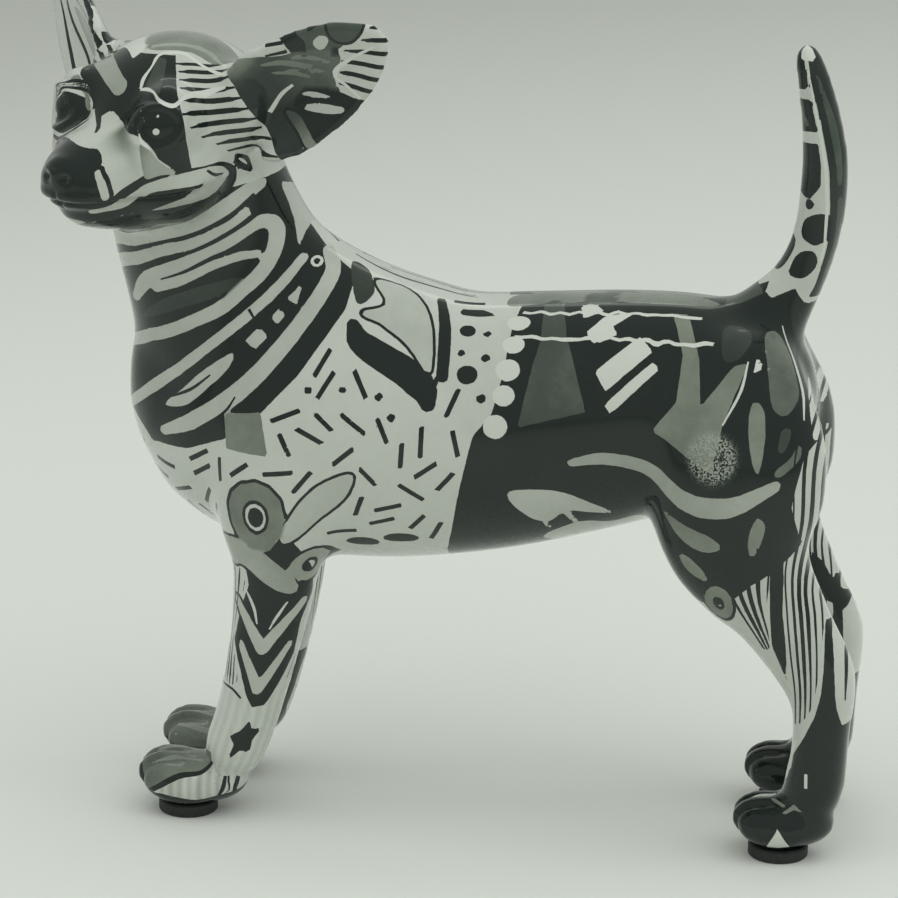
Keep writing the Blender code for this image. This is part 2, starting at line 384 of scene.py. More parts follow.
def set_on_neck(pieces):
    """Turns pieces modelled round the middle of the skull, looking along -X, to where the head looks."""
    head = joined("head", pieces)
    head.rotation_euler.z = HEAD_YAW
    head.location = SKULL_AT * MM
    return [joined("head", [head])]


torso = tube([
    (-49, 0, 80.5, 12, 15.5),
    (-42, 0, 78, 17, 22.5),
    (-29, 0, 76.5, 20.5, 26.5),
    (-12, 0, 75, 21, 26.2),
    (4, 0, 75.2, 20.5, 24.2),
    (20, 0, 77.7, 19.5, 22.8),
    (36, 0, 80.6, 18.5, 20.9),
    (50, 0, 82, 16.5, 18.8),
    (59, 0, 82, 12, 14),
], domes=(0.6, 0.7))
keel = tube([
    (-47, 0, 86, 11, 12),
    (-46, 0, 76, 11, 13),
    (-39, 0, 66, 11, 13),
    (-29, 0, 61, 11, 11),
])
neck = tube([
    (-31, 0, 80, 18, 24),
    (-37.5, 0, 93, 16, 21.3),
    (-42.2, -1, 104, 14, 18.6),
    (-45.4, -3, 114, 13, 17.2),
    (-47.4, -5, 124, 12.5, 15.5),
])
withers = tube([
    (-38, -2, 113, 9, 8.5),
    (-30, -1, 102, 11.5, 10),
    (-17, 0, 93, 14, 11.5),
    (-2, 0, 87.5, 16, 12.5),
])
tail = tube([
    (53, 0, 92, 7.5, 8),
    (58.5, 0, 99, 6.2, 6.2),
    (62.8, 0, 105.5, 4.4, 4.2),
    (65.4, 0, 112.5, 3.9, 3.7),
    (66.5, 0, 120, 3.8, 3.8),
    (66.7, 0, 127, 3.6, 3.6),
    (65.7, 0, 134.5, 3.1, 3),
    (64, 0, 141.6, 2.4, 2.3),
    (62.6, 0, 147, 1.5, 1.4),
])
limbs = []
for side, lean in ((-1, 1.2), (1, -0.8)):
    y = side * FRONT_STANCE
    limbs.append(tube([
        (-24, y, 88, 6, 9),
        (-28.5, y + side * 2, 77, 8, 11.5),
        (-30, y + side * 3, 66, 8, 11),
        (-30.5, y + side * 2, 56, 7.5, 9),
    ]))
    limbs.append(tube([
        (-31.0 + lean, y + side * 1.5, 59, 7.2, 8.6),
        (-31.0 + lean, y + side * 1, 50, 6.9, 7.7),
        (-31.5 + 0.7 * lean, y, 42, 6.3, 7),
        (-32.3 + 0.4 * lean, y, 35, 5.9, 6.3),
        (-33.6 + 0.2 * lean, y, 27.5, 5.7, 5.8),
        (-35.3, y, 19.5, 5.7, 5.4),
        (-37.6, y, 13, 6, 5.4),
    ]))
y = -REAR_STANCE
thigh = [
    (54, y + 4, 90, 8, 10.5),
    (54.4, y + 1, 79, 10, 15.2),
    (54, y - 0.5, 67, 10, 15.8),
    (54.9, y - 0.5, 59, 9, 13.5),
    (57.9, y, 52, 7.8, 10.4),
]
shank = [
    (59.8, y, 51, 7.4, 9.4),
    (64.2, y, 44.5, 6.6, 7.9),
    (68.2, y, 37.5, 5.7, 6.6),
    (70.9, y, 31, 5.2, 5.4),
    (71, y, 25, 5.2, 4.8),
    (70.7, y, 19, 5.4, 4.7),
    (69.9, y, 13, 6, 5.4),
]
hock = [(70.5, y, 41, 3.5, 3.5), (72.9, y, 35, 4, 3.5), (72.2, y, 29, 4.5, 3.8)]
for bone in (thigh, shank, hock):
    limbs += [tube(bone), tube(mirrored(bone))]

muzzle = tube([
    (-12, 0, -6, 10.5, 9.5),
    (-18, 0, -6.8, 9.2, 8.2),
    (-23.5, 0, -7.8, 8, 6.8),
    (-27, 0, -8.6, 6.8, 5.6),
], domes=(1, 0.7))
jaw = tube([
    (2, 0, -12.5, 9.5, 6.5),
    (-8, 0, -13.2, 8.5, 6),
    (-17, 0, -13.2, 6.6, 4.6),
    (-24, 0, -12.8, 4.6, 3),
])
skull = [
    muzzle,
    jaw,
    swelling((0, 0, -0.7), (18.5, 17.5, 15.7)),
    swelling((6, 0, -6), (15, 15.5, 13)),
    *both_sides((-9, -8, -8), (11, 8.5, 9.5)),
    *both_sides((-13.2, -10.6, 2.2), (6, 6.2, 7.5)),
    *both_sides((-16, -8.6, -4.2), (6.5, 5, 6)),
    *both_sides((0.5, -15, 3.5), (6.5, 6, 8.5)),
]
body = fused("body", [torso, keel, neck, withers, tail, *limbs, *set_on_neck(skull)], SOFT_VOXEL, SOFT_STEPS)


def paw(heel_x, length, y):
    """Four toes side by side ahead of a broad pad, the outer two shorter and lower."""
    pieces = [swelling((heel_x - 0.44 * length, y, SOLE + 4), (0.44 * length, 6.4, 4.8))]
    for across, reach, height in ((-4.9, 0.92, 3.7), (-1.75, 1, 4.5), (1.75, 1, 4.5), (4.9, 0.92, 3.7)):
        half = 0.34 * length
        tip = heel_x - reach * length
        radii = (half, TOE_RADIUS, height + 0.2)
        pieces.append(swelling((tip + half, y + across, SOLE + height), radii, pitch=6))
    return pieces


ear_length = (EAR_TIP - EAR_ROOT).length
ear_axis = (EAR_TIP - EAR_ROOT).normalized()
ear_face = (EAR_OPENING - ear_axis * ear_axis.dot(EAR_OPENING)).normalized()
ear_side = ear_axis.cross(ear_face)


def ear(side):
    """A leaf cupped forwards, broad at the root and pointed at the tip."""
    deselect_all()
    bpy.ops.mesh.primitive_grid_add(x_subdivisions=16, y_subdivisions=20, size=2)
    leaf = bpy.context.object
    for vertex in leaf.data.vertices:
        v, t = vertex.co.x, (vertex.co.y + 1) / 2
        taper = (1 - min(t, 0.995) ** 3) ** 0.6 * (0.7 + 0.3 * min(1, t / 0.2))
        cup = EAR_CUP * (1 - t) + 1.0
        point = EAR_ROOT + ear_axis * ear_length * t + ear_side * EAR_WIDTH / 2 * taper * v
        point -= ear_face * cup * (1 - v * v)
        vertex.co = Vector((point.x, -side * point.y, point.z)) * MM
    apply_modifier(leaf, "SOLIDIFY", thickness=EAR_THICKNESS * MM, offset=0)
    return leaf


eyes_and_nose = [swelling((-28.9, 0, -6.2), (2.8, 4.2, 3.4)), *both_sides((-14.9, -9.9, 2), (4.8, 4.8, 4.6))]
crisp = [body, *set_on_neck([*eyes_and_nose, ear(-1), ear(1)])]
for side in SIDES:
    crisp += paw(*FRONT_PAW, side * FRONT_STANCE) + paw(*REAR_PAW, side * REAR_STANCE)
dog = fused("figurine", crisp, CRISP_VOXEL, CRISP_STEPS)

# ----------------------------------------------------------
# The master's fine work: lids round the eyes, nostrils and the line of the mouth, softened ear rims and
# flat soles where the pads are glued. The skin is split finer where this work is, then pushed in and
# out along its normals.
# ----------------------------------------------------------
def positions(piece, kind="co", items="vertices"):
    """The vertices' or faces' values as rows, in millimetres where they are places."""
    collection = getattr(piece.data, items)
    flat = np.empty(len(collection) * 3, np.float32)
    collection.foreach_get(kind, flat)
    rows = flat.reshape(-1, 3).astype(float)
    return rows if kind == "normal" else rows / MM


def in_head(rows):
    """Body places as places about the middle of the skull: -X ahead, -Y to the dog's left."""
    c, s = cos(HEAD_YAW), sin(HEAD_YAW)
    x, y, z = (rows - np.array(SKULL_AT)).T
    return np.stack([c * x + s * y, c * y - s * x, z], 1)


def select_faces(piece, chosen):
    deselect_all()
    bpy.context.view_layer.objects.active = piece
    piece.select_set(True)
    piece.data.vertices.foreach_set("select", np.zeros(len(piece.data.vertices), bool))
    piece.data.edges.foreach_set("select", np.zeros(len(piece.data.edges), bool))
    piece.data.polygons.foreach_set("select", chosen)
    bpy.ops.object.mode_set(mode="EDIT")
    bpy.ops.mesh.select_mode(type="FACE")


def hump(distance, centre, width):
    return np.exp(-(((distance - centre) / width) ** 2))


def smoothstep(low, high, value):
    share = np.clip((value - low) / (high - low), 0, 1)
    return share * share * (3 - 2 * share)


middles = positions(dog, "center", "polygons")
local = in_head(middles)
on_ear = (np.linalg.norm(local, axis=1) > 25.5) & (np.abs(local[:, 1]) > 17)
select_faces(dog, on_ear)
bpy.ops.mesh.vertices_smooth(factor=0.5, repeat=12)
bpy.ops.object.mode_set(mode="OBJECT")

ahead = local[:, 0] < -11.5
eyes_near = (np.abs(np.abs(local[:, 1]) - 10.2) < 8.5) & (np.abs(local[:, 2] - 1.5) < 7.5)
snout_near = (local[:, 0] < -19) | ((np.abs(local[:, 2] + 9.5) < 4.0) & (local[:, 0] < -10))
on_face = ahead & (np.abs(local[:, 1]) < 20) & (local[:, 2] > -19)
toes_near = (middles[:, 2] < 12.5) & ((np.abs(middles[:, 0] + 50.0) < 9) | (np.abs(middles[:, 0] - 60.0) < 9))
select_faces(dog, (on_face & (eyes_near | snout_near)) | toes_near)
bpy.ops.mesh.subdivide(number_cuts=1)
bpy.ops.mesh.vertices_smooth(factor=0.5, repeat=3)
bpy.ops.object.mode_set(mode="OBJECT")

places = positions(dog)
normals = positions(dog, "normal")
local = in_head(places)
rise = np.zeros(len(places))

EYE_AT = np.array((-18.9, 12.4, 2.4))
EYE_OUT = np.array((-0.85, 0.515, 0.10))
EYE_UP = np.array((0.09, -0.05, 0.995))
EYE_HALF = (4.3, 3.2)
LID, CREASE, SUNK_EYE = 0.42, 0.45, 0.30
for side in SIDES:
    turned = (local - EYE_AT * (1, side, 1)) * (1, side, 1)
    up_share = turned @ EYE_UP
    across = turned @ np.cross(EYE_OUT, EYE_UP)
    depth = turned @ EYE_OUT
    lean = up_share - 0.10 * across
    opening = (np.hypot(across / EYE_HALF[0], lean / EYE_HALF[1]) - 1) * EYE_HALF[1]
    near = np.exp(-((np.hypot(across, up_share) / 9) ** 6)) * (depth > -5)
    rise += near * (LID * hump(opening, 0.45, 0.5) - CREASE * hump(opening, 1.7, 0.7) * (lean > 0))
    rise -= near * SUNK_EYE * (1 - smoothstep(-0.55, -0.1, opening))

NOSTRIL, PHILTRUM, MOUTH, UPPER_LIP, CHIN = 0.95, 0.35, 0.75, 0.40, 0.55
hx, hy, hz = local.T
for side in SIDES:
    nostril = np.sqrt(((hx + 31.0) / 1.6) ** 2 + ((hy - side * 2.1) / 0.95) ** 2 + ((hz + 6.6) / 0.8) ** 2)
    rise -= NOSTRIL * np.exp(-(nostril**2))
front = hx < -26.5
rise -= PHILTRUM * np.exp(-((hy / 0.45) ** 2)) * front * smoothstep(-13, -12, hz) * smoothstep(-8.6, -9.6, hz)
lip_line = -11.3 + 0.02 * (hx + 28) ** 2 * (hx > -28) * 0.32
below = hz - lip_line
on_snout = smoothstep(-8, -11, hx) * (np.abs(hy) < 16)
rise -= MOUTH * hump(below, 0.0, 0.45) * on_snout
rise += UPPER_LIP * hump(below, 1.3, 0.9) * on_snout
rise -= CHIN * hump(below, -1.9, 1.3) * on_snout * smoothstep(-20, -24, hx)

TOE_GROOVES = (-3.4, 0.0, 3.4)
GROOVE_DEPTH = 0.55
for heel, length, stance in ((*FRONT_PAW, FRONT_STANCE), (*REAR_PAW, REAR_STANCE)):
    for side in SIDES:
        ahead = (heel - places[:, 0]) / length
        on_toes = smoothstep(0.50, 0.68, ahead) * (ahead < 1.2) * (places[:, 2] < 14)
        for across in TOE_GROOVES:
            groove = hump(places[:, 1] - side * stance, across, 0.55)
            rise -= GROOVE_DEPTH * groove * on_toes * smoothstep(2.6, 4.5, places[:, 2])

places += normals * rise[:, None]
places[:, 2] = np.maximum(places[:, 2], SOLE)
dog.data.vertices.foreach_set("co", (places * MM).astype(np.float32).ravel())
dog.data.update()
dog.data.shade_smooth()

# ----------------------------------------------------------
# The print: a film of black, white and grey artwork laid over the white resin before it is lacquered,
# with one black field over the loins, bands on the neck, pin stripes down the legs and dashes on the
# chest. Each screen of ink is kept as distances in millimetres from its outlines. Some marks in it are
# painted light: white glints on the eyes, the lower lid and the tail's tip, painted shade in the muzzle's
# crease and the near ear's hollow, and a painted sheen along the top of the back.
# ----------------------------------------------------------
INK, COAL, DIM, MID, PALE, CHALK, WHITE = 0.0, 0.12, 0.28, 0.45, 0.66, 0.82, 1.0
FAR = 9.0
CORRIDOR = 0.95
NEARLY_ON = 1.5

places = positions(dog)
normals = positions(dog, "normal")
local = in_head(places)
X, Y, Z = places.T
count = len(places)
random = np.random.default_rng(11)


class Area:
    """A part of the skin laid out flat: two coordinates, and how far outside the part each point is."""

    def __init__(self, across, up, limit, unit=1.0, stretch=1.0):
        self.at = np.nonzero(limit < NEARLY_ON)[0]
        self.flat = np.stack([across, up], 1)[self.at] * unit
        self.limit = limit[self.at]
        self.unit = unit
        self.stretch = np.broadcast_to(stretch, limit.shape)[self.at]
        self.hand = 1

    def moved(self, x, y=0):
        """The same part, on which every drawing lies x and y further along."""
        part = copy(self)
        part.flat = self.flat - np.array((x, y)) * self.unit
        return part

    def mirrored(self):
        """The same part, on which every drawing is turned over left to right."""
        part = copy(self)
        part.flat, part.hand = self.flat * (-1, 1), -self.hand
        return part


class Screen:
    """One screen of solid shapes: the distance to the nearest outline, below zero inside, and its shade."""

    def __init__(self):
        self.edge = np.full(count, FAR)
        self.shade = np.full(count, WHITE)

    def fill(self, area, gap, shade):
        gap = np.maximum(gap * area.stretch, area.limit)
        closer = gap < self.edge[area.at]
        chosen = area.at[closer]
        self.edge[chosen] = gap[closer]
        self.shade[chosen] = np.broadcast_to(shade, gap.shape)[closer]

    def facets(self, area, shade, *outlines):
        """Shapes with straight sides, each a list of across and up for its corners."""
        for outline in outlines:
            self.fill(area, gap_to(area, np.reshape(outline, (-1, 2)).astype(float)), shade)

    def blobs(self, area, shade, *outlines):
        """Shapes with one smooth curve through their corners."""
        for outline in outlines:
            self.fill(area, gap_to(area, closed_curve(outline)), shade)

    def bands(self, area, shade, *paths, steps=SPAN_STEPS):
        """Bands along paths, each a list of across, up and half width."""
        for path in paths:
            _, half, gap, _ = follow(area, path, steps)
            self.fill(area, gap - half, shade)

    def discs(self, area, shade, *discs):
        for x, y, radius in discs:
            gap = np.hypot(*(area.flat - np.array((x, y)) * area.unit).T) - radius
            self.fill(area, gap, shade)


class Lines:
    """Fine lines: the offset from the nearest line in half widths, and whether the point is alongside it."""

    def __init__(self):
        self.offset = np.full(count, FAR)
        self.beside = np.full(count, FAR)
        self.nearest = np.full(count, FAR * 9)
        self.turn = 1

    def draw(self, area, *paths, steps=SPAN_STEPS):
        """Lines along paths like those of bands. The offsets change sign from each line to the next, so that
        they never pass through 0 half way between two neighbours."""
        for path in paths:
            self.turn = -self.turn
            offset, half, gap, beyond = follow(area, path, steps)
            gap, offset = gap * area.stretch, offset * area.stretch
            closer = (gap < self.nearest[area.at]) & (area.limit < 1.0)
            chosen = area.at[closer]
            self.nearest[chosen] = gap[closer]
            self.offset[chosen] = self.turn * offset[closer] / half[closer]
            self.beside[chosen] = outside(beyond, gap - CORRIDOR, area.limit)[closer]


class Stripes:
    """Even pin stripes between two guide lines: a count that is whole on each stripe, and their spacing."""

    def __init__(self):
        self.edge = np.full(count, FAR)
        self.step = np.zeros(count)
        self.spacing = np.full(count, FAR)

    def rule(self, area, first, last, number, outline, half, taper=2.5):
        """A number of stripes from the first guide to the last, thinner within taper of the outline."""
        edge = np.maximum(gap_to(area, closed_curve(outline)) * area.stretch, area.limit)
        guides = [np.insert(np.reshape(guide, (-1, 2)), 2, 1, 1) for guide in (first, last)]
        from_first, from_last = (follow(area, guide)[0] for guide in guides)
        apart = from_first - from_last
        apart = np.where(np.abs(apart) < 0.3, 0.3, apart)
        step = (number - 1) * from_first / apart
        wide = half * np.clip(-edge / taper, 0.45, 1)
        closer = (edge < self.edge[area.at]) & (edge < 1.6)
        chosen = area.at[closer]
        self.edge[chosen] = edge[closer]
        self.step[chosen] = step[closer]
        self.spacing[chosen] = (np.abs(apart) * area.stretch / (number - 1) / wide)[closer]


def outside(*limits):
    """How far outside a part that all the limits bound."""
    return np.maximum.reduce(limits)


def closed_curve(outline):
    corners = np.reshape(outline, (-1, 2)).astype(float)
    rows = np.vstack([corners[-1:], corners, corners[:2]])
    return np.array([
        catmull_rom(*rows[i : i + 4], step / SPAN_STEPS) for i in range(len(corners)) for step in range(SPAN_STEPS)
    ])


def gap_to(area, outline):
    """Signed distance to a closed outline, below zero inside it."""
    loop = outline * area.unit
    flat = area.flat
    best = np.full(len(flat), 1e9)
    inside = np.zeros(len(flat), bool)
    for a, b in zip(loop, np.roll(loop, -1, 0)):
        run = b - a
        to = flat - a
        share = np.clip(to @ run / (run @ run), 0, 1)
        best = np.minimum(best, ((to - share[:, None] * run) ** 2).sum(1))
        if run[1]:
            crosses = (a[1] > flat[:, 1]) != (b[1] > flat[:, 1])
            inside ^= crosses & (to[:, 0] < to[:, 1] * run[0] / run[1])
    return np.sqrt(best) * np.where(inside, -1, 1)


def follow(area, path, steps=SPAN_STEPS):
    """Offset, half width, distance and run-out beyond the ends, for the nearest place on an open path."""
    rows = np.reshape(path, (-1, 3)).astype(float)
    rows = smooth_path(rows, steps) if len(rows) > 2 else rows
    rows[:, :2] *= area.unit
    flat = area.flat
    best = np.full(len(flat), 1e9)
    offset, half, beyond = np.full(len(flat), FAR), np.full(len(flat), 0.01), np.full(len(flat), FAR)
    last = len(rows) - 2
    for i, (a, b) in enumerate(zip(rows, rows[1:])):
        run = b[:2] - a[:2]
        length = np.hypot(*run)
        to = flat - a[:2]
        along = to @ run / length
        share = np.clip(along / length, 0, 1)
        gap = np.hypot(*(to - share[:, None] * run).T)
        closer = gap < best
        best[closer] = gap[closer]
        offset[closer] = ((run[0] * to[:, 1] - run[1] * to[:, 0]) / length)[closer]
        half[closer] = np.maximum(a[2] + (b[2] - a[2]) * share, 0.02)[closer]
        past = np.maximum(-along if i == 0 else -FAR, along - length if i == last else -FAR)
        beyond[closer] = np.broadcast_to(past, gap.shape)[closer]
    return offset * area.hand, half, best, beyond


def ring(x, y, radius, half, start=0, end=360):
    """An arc as a path."""
    angles = np.radians(np.linspace(start, end, 13))
    return [(x + radius * cos(a), y + radius * sin(a), half) for a in angles]


fields, solids, outlined = Screen(), Screen(), Screen()
ink, light = Lines(), Lines()
pin_stripes = Stripes()

# --- where each part of the skin lies, and how it is laid out flat
TRUNK_HEIGHT, TRUNK_HALF_HEIGHT, TRUNK_HALF_WIDTH = 77, 24, 20
TAIL_RADIUS, LEG_RADIUS, PAW_RADIUS, PAW_HEIGHT = 4.0, 6.3, 6.4, 6.5
SEAM = 0.5
climb = TRUNK_HALF_HEIGHT * np.arctan2((Z - TRUNK_HEIGHT) / TRUNK_HALF_HEIGHT, np.abs(Y) / TRUNK_HALF_WIDTH)
tail_axis = np.interp(
    Z, [99, 105.5, 112.5, 120, 127, 134.5, 141.6, 147], [58.5, 62.8, 65.4, 66.5, 66.7, 65.7, 64, 62.6]
)
tail_limit = np.maximum(102 - Z - 0.6 * (X - 60), 50 - X)
tail_skin = Area(TAIL_RADIUS * np.arctan2(X - tail_axis, -Y), Z, tail_limit)
trunk_limit = np.maximum(-tail_limit, Z - 118)
near_flank = Area(X, climb, np.maximum(Y, trunk_limit))
far_flank = Area(X, climb, np.maximum(-Y, trunk_limit))

hx, hy, hz = local.T
reach = np.linalg.norm(local, axis=1)
bearing = np.degrees(np.arctan2(-hy, -hx))
pitch_up = np.degrees(np.arcsin(hz / reach))
DEGREE = 0.3
neck_line = 116.5 + 0.19 * (X + 60) - Z


def ear_areas(side):
    """How far each point is from an ear, then the ear's hollow and its back, laid out along and across."""
    from_root = local * (1, -side, 1) - np.array(EAR_ROOT)
    facing = (in_head(normals) - in_head(np.zeros((1, 3)))) * (1, -side, 1) @ np.array(ear_face)
    along, across = from_root @ np.array(ear_axis), from_root @ np.array(ear_side)
    away = np.where(side * hy > 15, 3.0 - along, FAR)
    return away, *(Area(along, across, outside(away, turned)) for turned in (-3 * facing, 3 * facing))


off_near_ear, near_ear, near_ear_back = ear_areas(-1)
off_far_ear, far_ear, far_ear_back = ear_areas(1)
head_limit = outside(neck_line, -off_near_ear, -off_far_ear)
head = Area(bearing, pitch_up, head_limit, DEGREE, reach / 17)
neck = Area(X, Z + 0.25 * np.clip(Y + 10, 0, 30), -neck_line)
fore_axis = np.interp(Z, [10, 20, 30, 42, 60], [-38.5, -35.2, -33.0, -31.3, -30.3])


def round_leg(side):
    """Distance round a foreleg from its outer face."""
    return LEG_RADIUS * np.arctan2(X - fore_axis, side * (Y - side * FRONT_STANCE))


def round_paw(side, stance):
    """Distance over a paw from its outer side."""
    return PAW_RADIUS * np.arctan2(Z - PAW_HEIGHT, side * (Y - side * stance))


near_fore, far_fore = (
    Area(round_leg(side), Z, outside(Z - 57, SEAM - side * Y, X + 17)) for side in SIDES
)
near_hind, far_hind = (Area(X, Z, outside(Z - 100, SEAM - side * Y, 35 - X)) for side in SIDES)
near_front_paw, far_front_paw = (
    Area(X, round_paw(side, FRONT_STANCE), outside(Z - 13, SEAM - side * Y, X)) for side in SIDES
)
near_hind_paw, far_hind_paw = (
    Area(X, round_paw(side, REAR_STANCE), outside(Z - 15, SEAM - side * Y, -X)) for side in SIDES
)

# --- the flanks: white before, one black field behind, its front edge scalloped
fields.facets(
    near_flank, INK,
    (14.9, 41, 12.6, 24, 11.8, 13, 10.2, 5.6, 7, 1.5, 4.2, -11, 1.6, -25, 1, -44, 42, -44, 42, -25, 52,
     -20.5, 58, -17, 66.4, -14.6, 64.4, -7, 66.2, 1, 70.4, 7, 76, 10.5, 88, 14, 88, 41),
)
fields.facets(
    far_flank, INK,
    (11, 41, 9.6, 26, 12.8, 15, 9.2, 5.6, 11, -6, 6.2, -15, 8, -25, 5, -44, 42, -44, 42, -25, 52, -20, 58,
     -17, 65, -14, 68.4, -7, 71, 2, 88, 8, 88, 41),
)
solids.discs(
    near_flank, WHITE, (13.6, 25.2, 2.1), (13.2, 19.6, 2), (12.6, 14.2, 2.2), (12.2, 9.2, 2), (11, 3.4, 2.2),
)
solids.discs(far_flank, WHITE, (10.8, 24, 2.3), (12.4, 18, 1.9), (12, 9.5, 2.3), (10.4, 2, 1.9))

for flank in (near_flank, far_flank.moved(3)):
    solids.facets(flank, DIM, (17.5, 36, 20.5, 36, 22.5, 22, 27, 7, 15, 3.5, 18, 21))
    # The grey patches along the top of the back are partly print and partly a painted sheen, where the glossy top
    # takes the light.
    solids.blobs(flank, MID, (11, 31, 13, 38, 25, 38, 25, 32.6, 18, 32))
    solids.blobs(flank, DIM, (24, 32.6, 24, 38, 31, 38, 31, 32))
    solids.blobs(flank, MID, (29, 33.2, 31, 38, 43, 38, 49, 33.5, 38, 32))
solids.facets(
    near_flank, WHITE, (24.2, 30.8, 27, 31.2, 28.6, 29, 25.2, 26.4),
    (26, 23, 29.2, 27.4, 34.8, 29, 30.6, 24.4, 31.8, 22.6, 27.4, 20.4),
    (28.2, 14.6, 35.8, 22.4, 38.2, 19.2, 30.4, 11), (30.2, 8.6, 38.6, 17.4, 39.6, 15.8, 31.4, 6.9),
)
solids.facets(
    far_flank, WHITE, (36.4, 12.6, 30.4, 19.8, 32.4, 22.8, 38, 15.8),
    (34.8, 8.2, 30.2, 13.8, 31.2, 15.4, 36, 9.6),
)

# a grey ribbon that falls from the back and fans out over the loin
for flank in (near_flank, far_flank.moved(-1.5)):
    solids.facets(
        flank, MID,
        (41, 29, 43.8, 29, 46.6, 18, 47.4, 9, 53, 16.5, 55.5, 17, 51.6, 6, 50, -1.8, 45.5, 0.2, 38.8, 4.2,
         43, 10, 43.6, 19),
    )
    outlined.bands(
        flank, PALE,
        (24.8, -2.8, 0.8, 30.5, -1.8, 1.25, 37.5, -3.2, 1.4, 45, -6.6, 1.5, 53.5, -6.4, 1.4, 61.5, -3.4, 0.9),
    )
outlined.blobs(
    near_flank, MID, (57, 10.4, 58.8, 8.6, 59.2, 3, 58.2, -1.6, 56.6, 2.6, 56.2, 7.6),
    (58.8, -7.8, 60, -9.4, 59.2, -11.8, 57.8, -13.4, 57, -11.6, 57.6, -9.2),
)
solids.blobs(
    near_flank, 0.34, (57.8, 24.6, 60, 26.8, 62.3, 22.4, 64, 16.6, 64.4, 12, 62.6, 8.4, 60.2, 9.6, 59, 15.6),
)
solids.blobs(near_flank, 0.38, (65.3, 3.4, 65.4, 0.6, 62.2, -2, 61.2, -1.2, 63.6, 0.8))
solids.blobs(near_flank, 0.2, (62, 5.6, 63.6, 6, 63, 2.6, 61.6, 2))
solids.blobs(near_flank, COAL, (50.6, 26.4, 54.6, 25.6, 55.6, 21.6, 53.6, 17.6, 50.8, 18))
solids.facets(
    near_flank, WHITE, (57, 19.8, 58, 16.4, 56.4, 15.2),
    (65.4, 27.5, 66.4, 21, 67.6, 12, 68.9, 4.2, 67.5, 4, 66.7, 9, 66, 15),
)
solids.facets(
    far_flank, WHITE, (65.8, 27, 67.3, 15.5, 68.7, 8.8, 67.7, 8.6, 66.5, 16),
    (67.6, -1.6, 68.8, -2, 68.6, -5, 67.4, -4.6), (69.9, -2.2, 70.8, -2.6, 70.6, -5, 69.8, -4.6),
)
# More of the grey along the top of the back near the rump, partly print and partly painted sheen.
solids.facets(near_flank, DIM, (50, 33.5, 60, 33, 60, 37.7, 50, 37.7))
light.draw(
    near_flank, (55.4, 17.4, 0.14, 54.4, 11.8, 0.26, 51.6, 6, 0.14),
    (60.6, 29, 0.12, 63.2, 21.6, 0.24, 65.1, 14.6, 0.24, 65.7, 8, 0.12),
)

# a leaf with runs of ink along the belly
for flank in (near_flank, far_flank.moved(12)):
    solids.blobs(
        flank, CHALK,
        (13.2, -9.6, 17.5, -8.6, 23.5, -9.6, 29, -13.6, 31.8, -17.2, 27.5, -15.8, 23.6, -14.6, 20.5, -17.5,
         17, -15.6), (19, -24, 26, -19.2, 32, -21.8, 37.5, -19, 41, -22, 38, -30, 24, -30),
    )
    solids.bands(flank, CHALK, (18.6, -13, 0.6, 20.4, -20, 0.35), (22.4, -12, 0.7, 25.2, -19, 0.5))

# thin cracked lines along the back
for flank, high, low in ((near_flank, 28.2, 21.4), (far_flank, 24.0, 17.2)):
    for level, start, end in ((high, 14.0, 47.0), (low, 13.2, 49.5)):
        steps_along = np.arange(start, end, 1.7)
        wander = level + 0.35 * np.sin(steps_along * 1.9) + random.normal(0, 0.22, len(steps_along))
        wide = 0.34 + 0.16 * random.random(len(steps_along))
        light.draw(flank, list(zip(steps_along, wander, wide)), steps=2)

# --- the shoulder: a pale leaf over a heavy black swoosh, dots and ovals, then dashes everywhere
for flank, level_flank in ((near_flank, near_flank), (far_flank.moved(6, -3), far_flank.moved(6))):
    fields.bands(
        flank, INK,
        (-15.8, 20.6, 1.2, -14.2, 17.6, 2.3, -9.7, 14.8, 2.7, -5.5, 12.4, 2.8, -2.2, 9.4, 2.5, -1.2, 6.8, 1.4),
        (-1, 30.5, 0.8, 0.6, 22, 1.1, 1, 12, 1.1),
    )
    fields.facets(flank, INK, (2.6, 29, 6.8, 29.4, 9.6, 27.4, 6.2, 26.8, 2.8, 27))
    outlined.blobs(
        flank, CHALK,
        (-13, 31, -7, 31.2, -2.8, 25.5, -1.2, 17.5, -1.6, 12.4, -5.6, 17.6, -10.8, 21.4, -14.6, 23, -10.4,
         25.6),
    )
    solids.blobs(flank, COAL, (-17.6, 33, -14.6, 33, -12.8, 27.5, -15.6, 24.6))
    fields.discs(
        flank, INK, (4.6, 22.6, 1.5), (8.2, 22, 0.8), (5.4, 12.8, 1.9), (4, 17.2, 0.8), (8.4, 16.4, 0.9),
        (8.2, 8.4, 0.9), (-22.9, 8, 0.75), (-16.7, 8.4, 0.7), (-10.1, 7.6, 0.8), (-7.7, 4, 0.8),
    )
    ink.draw(level_flank, (-17.5, 36.4, 0.2, -9, 35.4, 0.35, 0, 35.8, 0.3, 5, 35.4, 0.15))
    fields.blobs(
        level_flank, INK, (-9.8, -20.3, -8.6, -19.2, -6.4, -18.8, -4.2, -19.2, -3.1, -20.3, -4.4, -21.3, -8.4, -21.3),
        (-16.6, -21.7, -15.4, -20.7, -13.4, -20.3, -11.4, -20.7, -10.4, -21.8, -11.6, -22.8, -15.2, -22.8),
    )

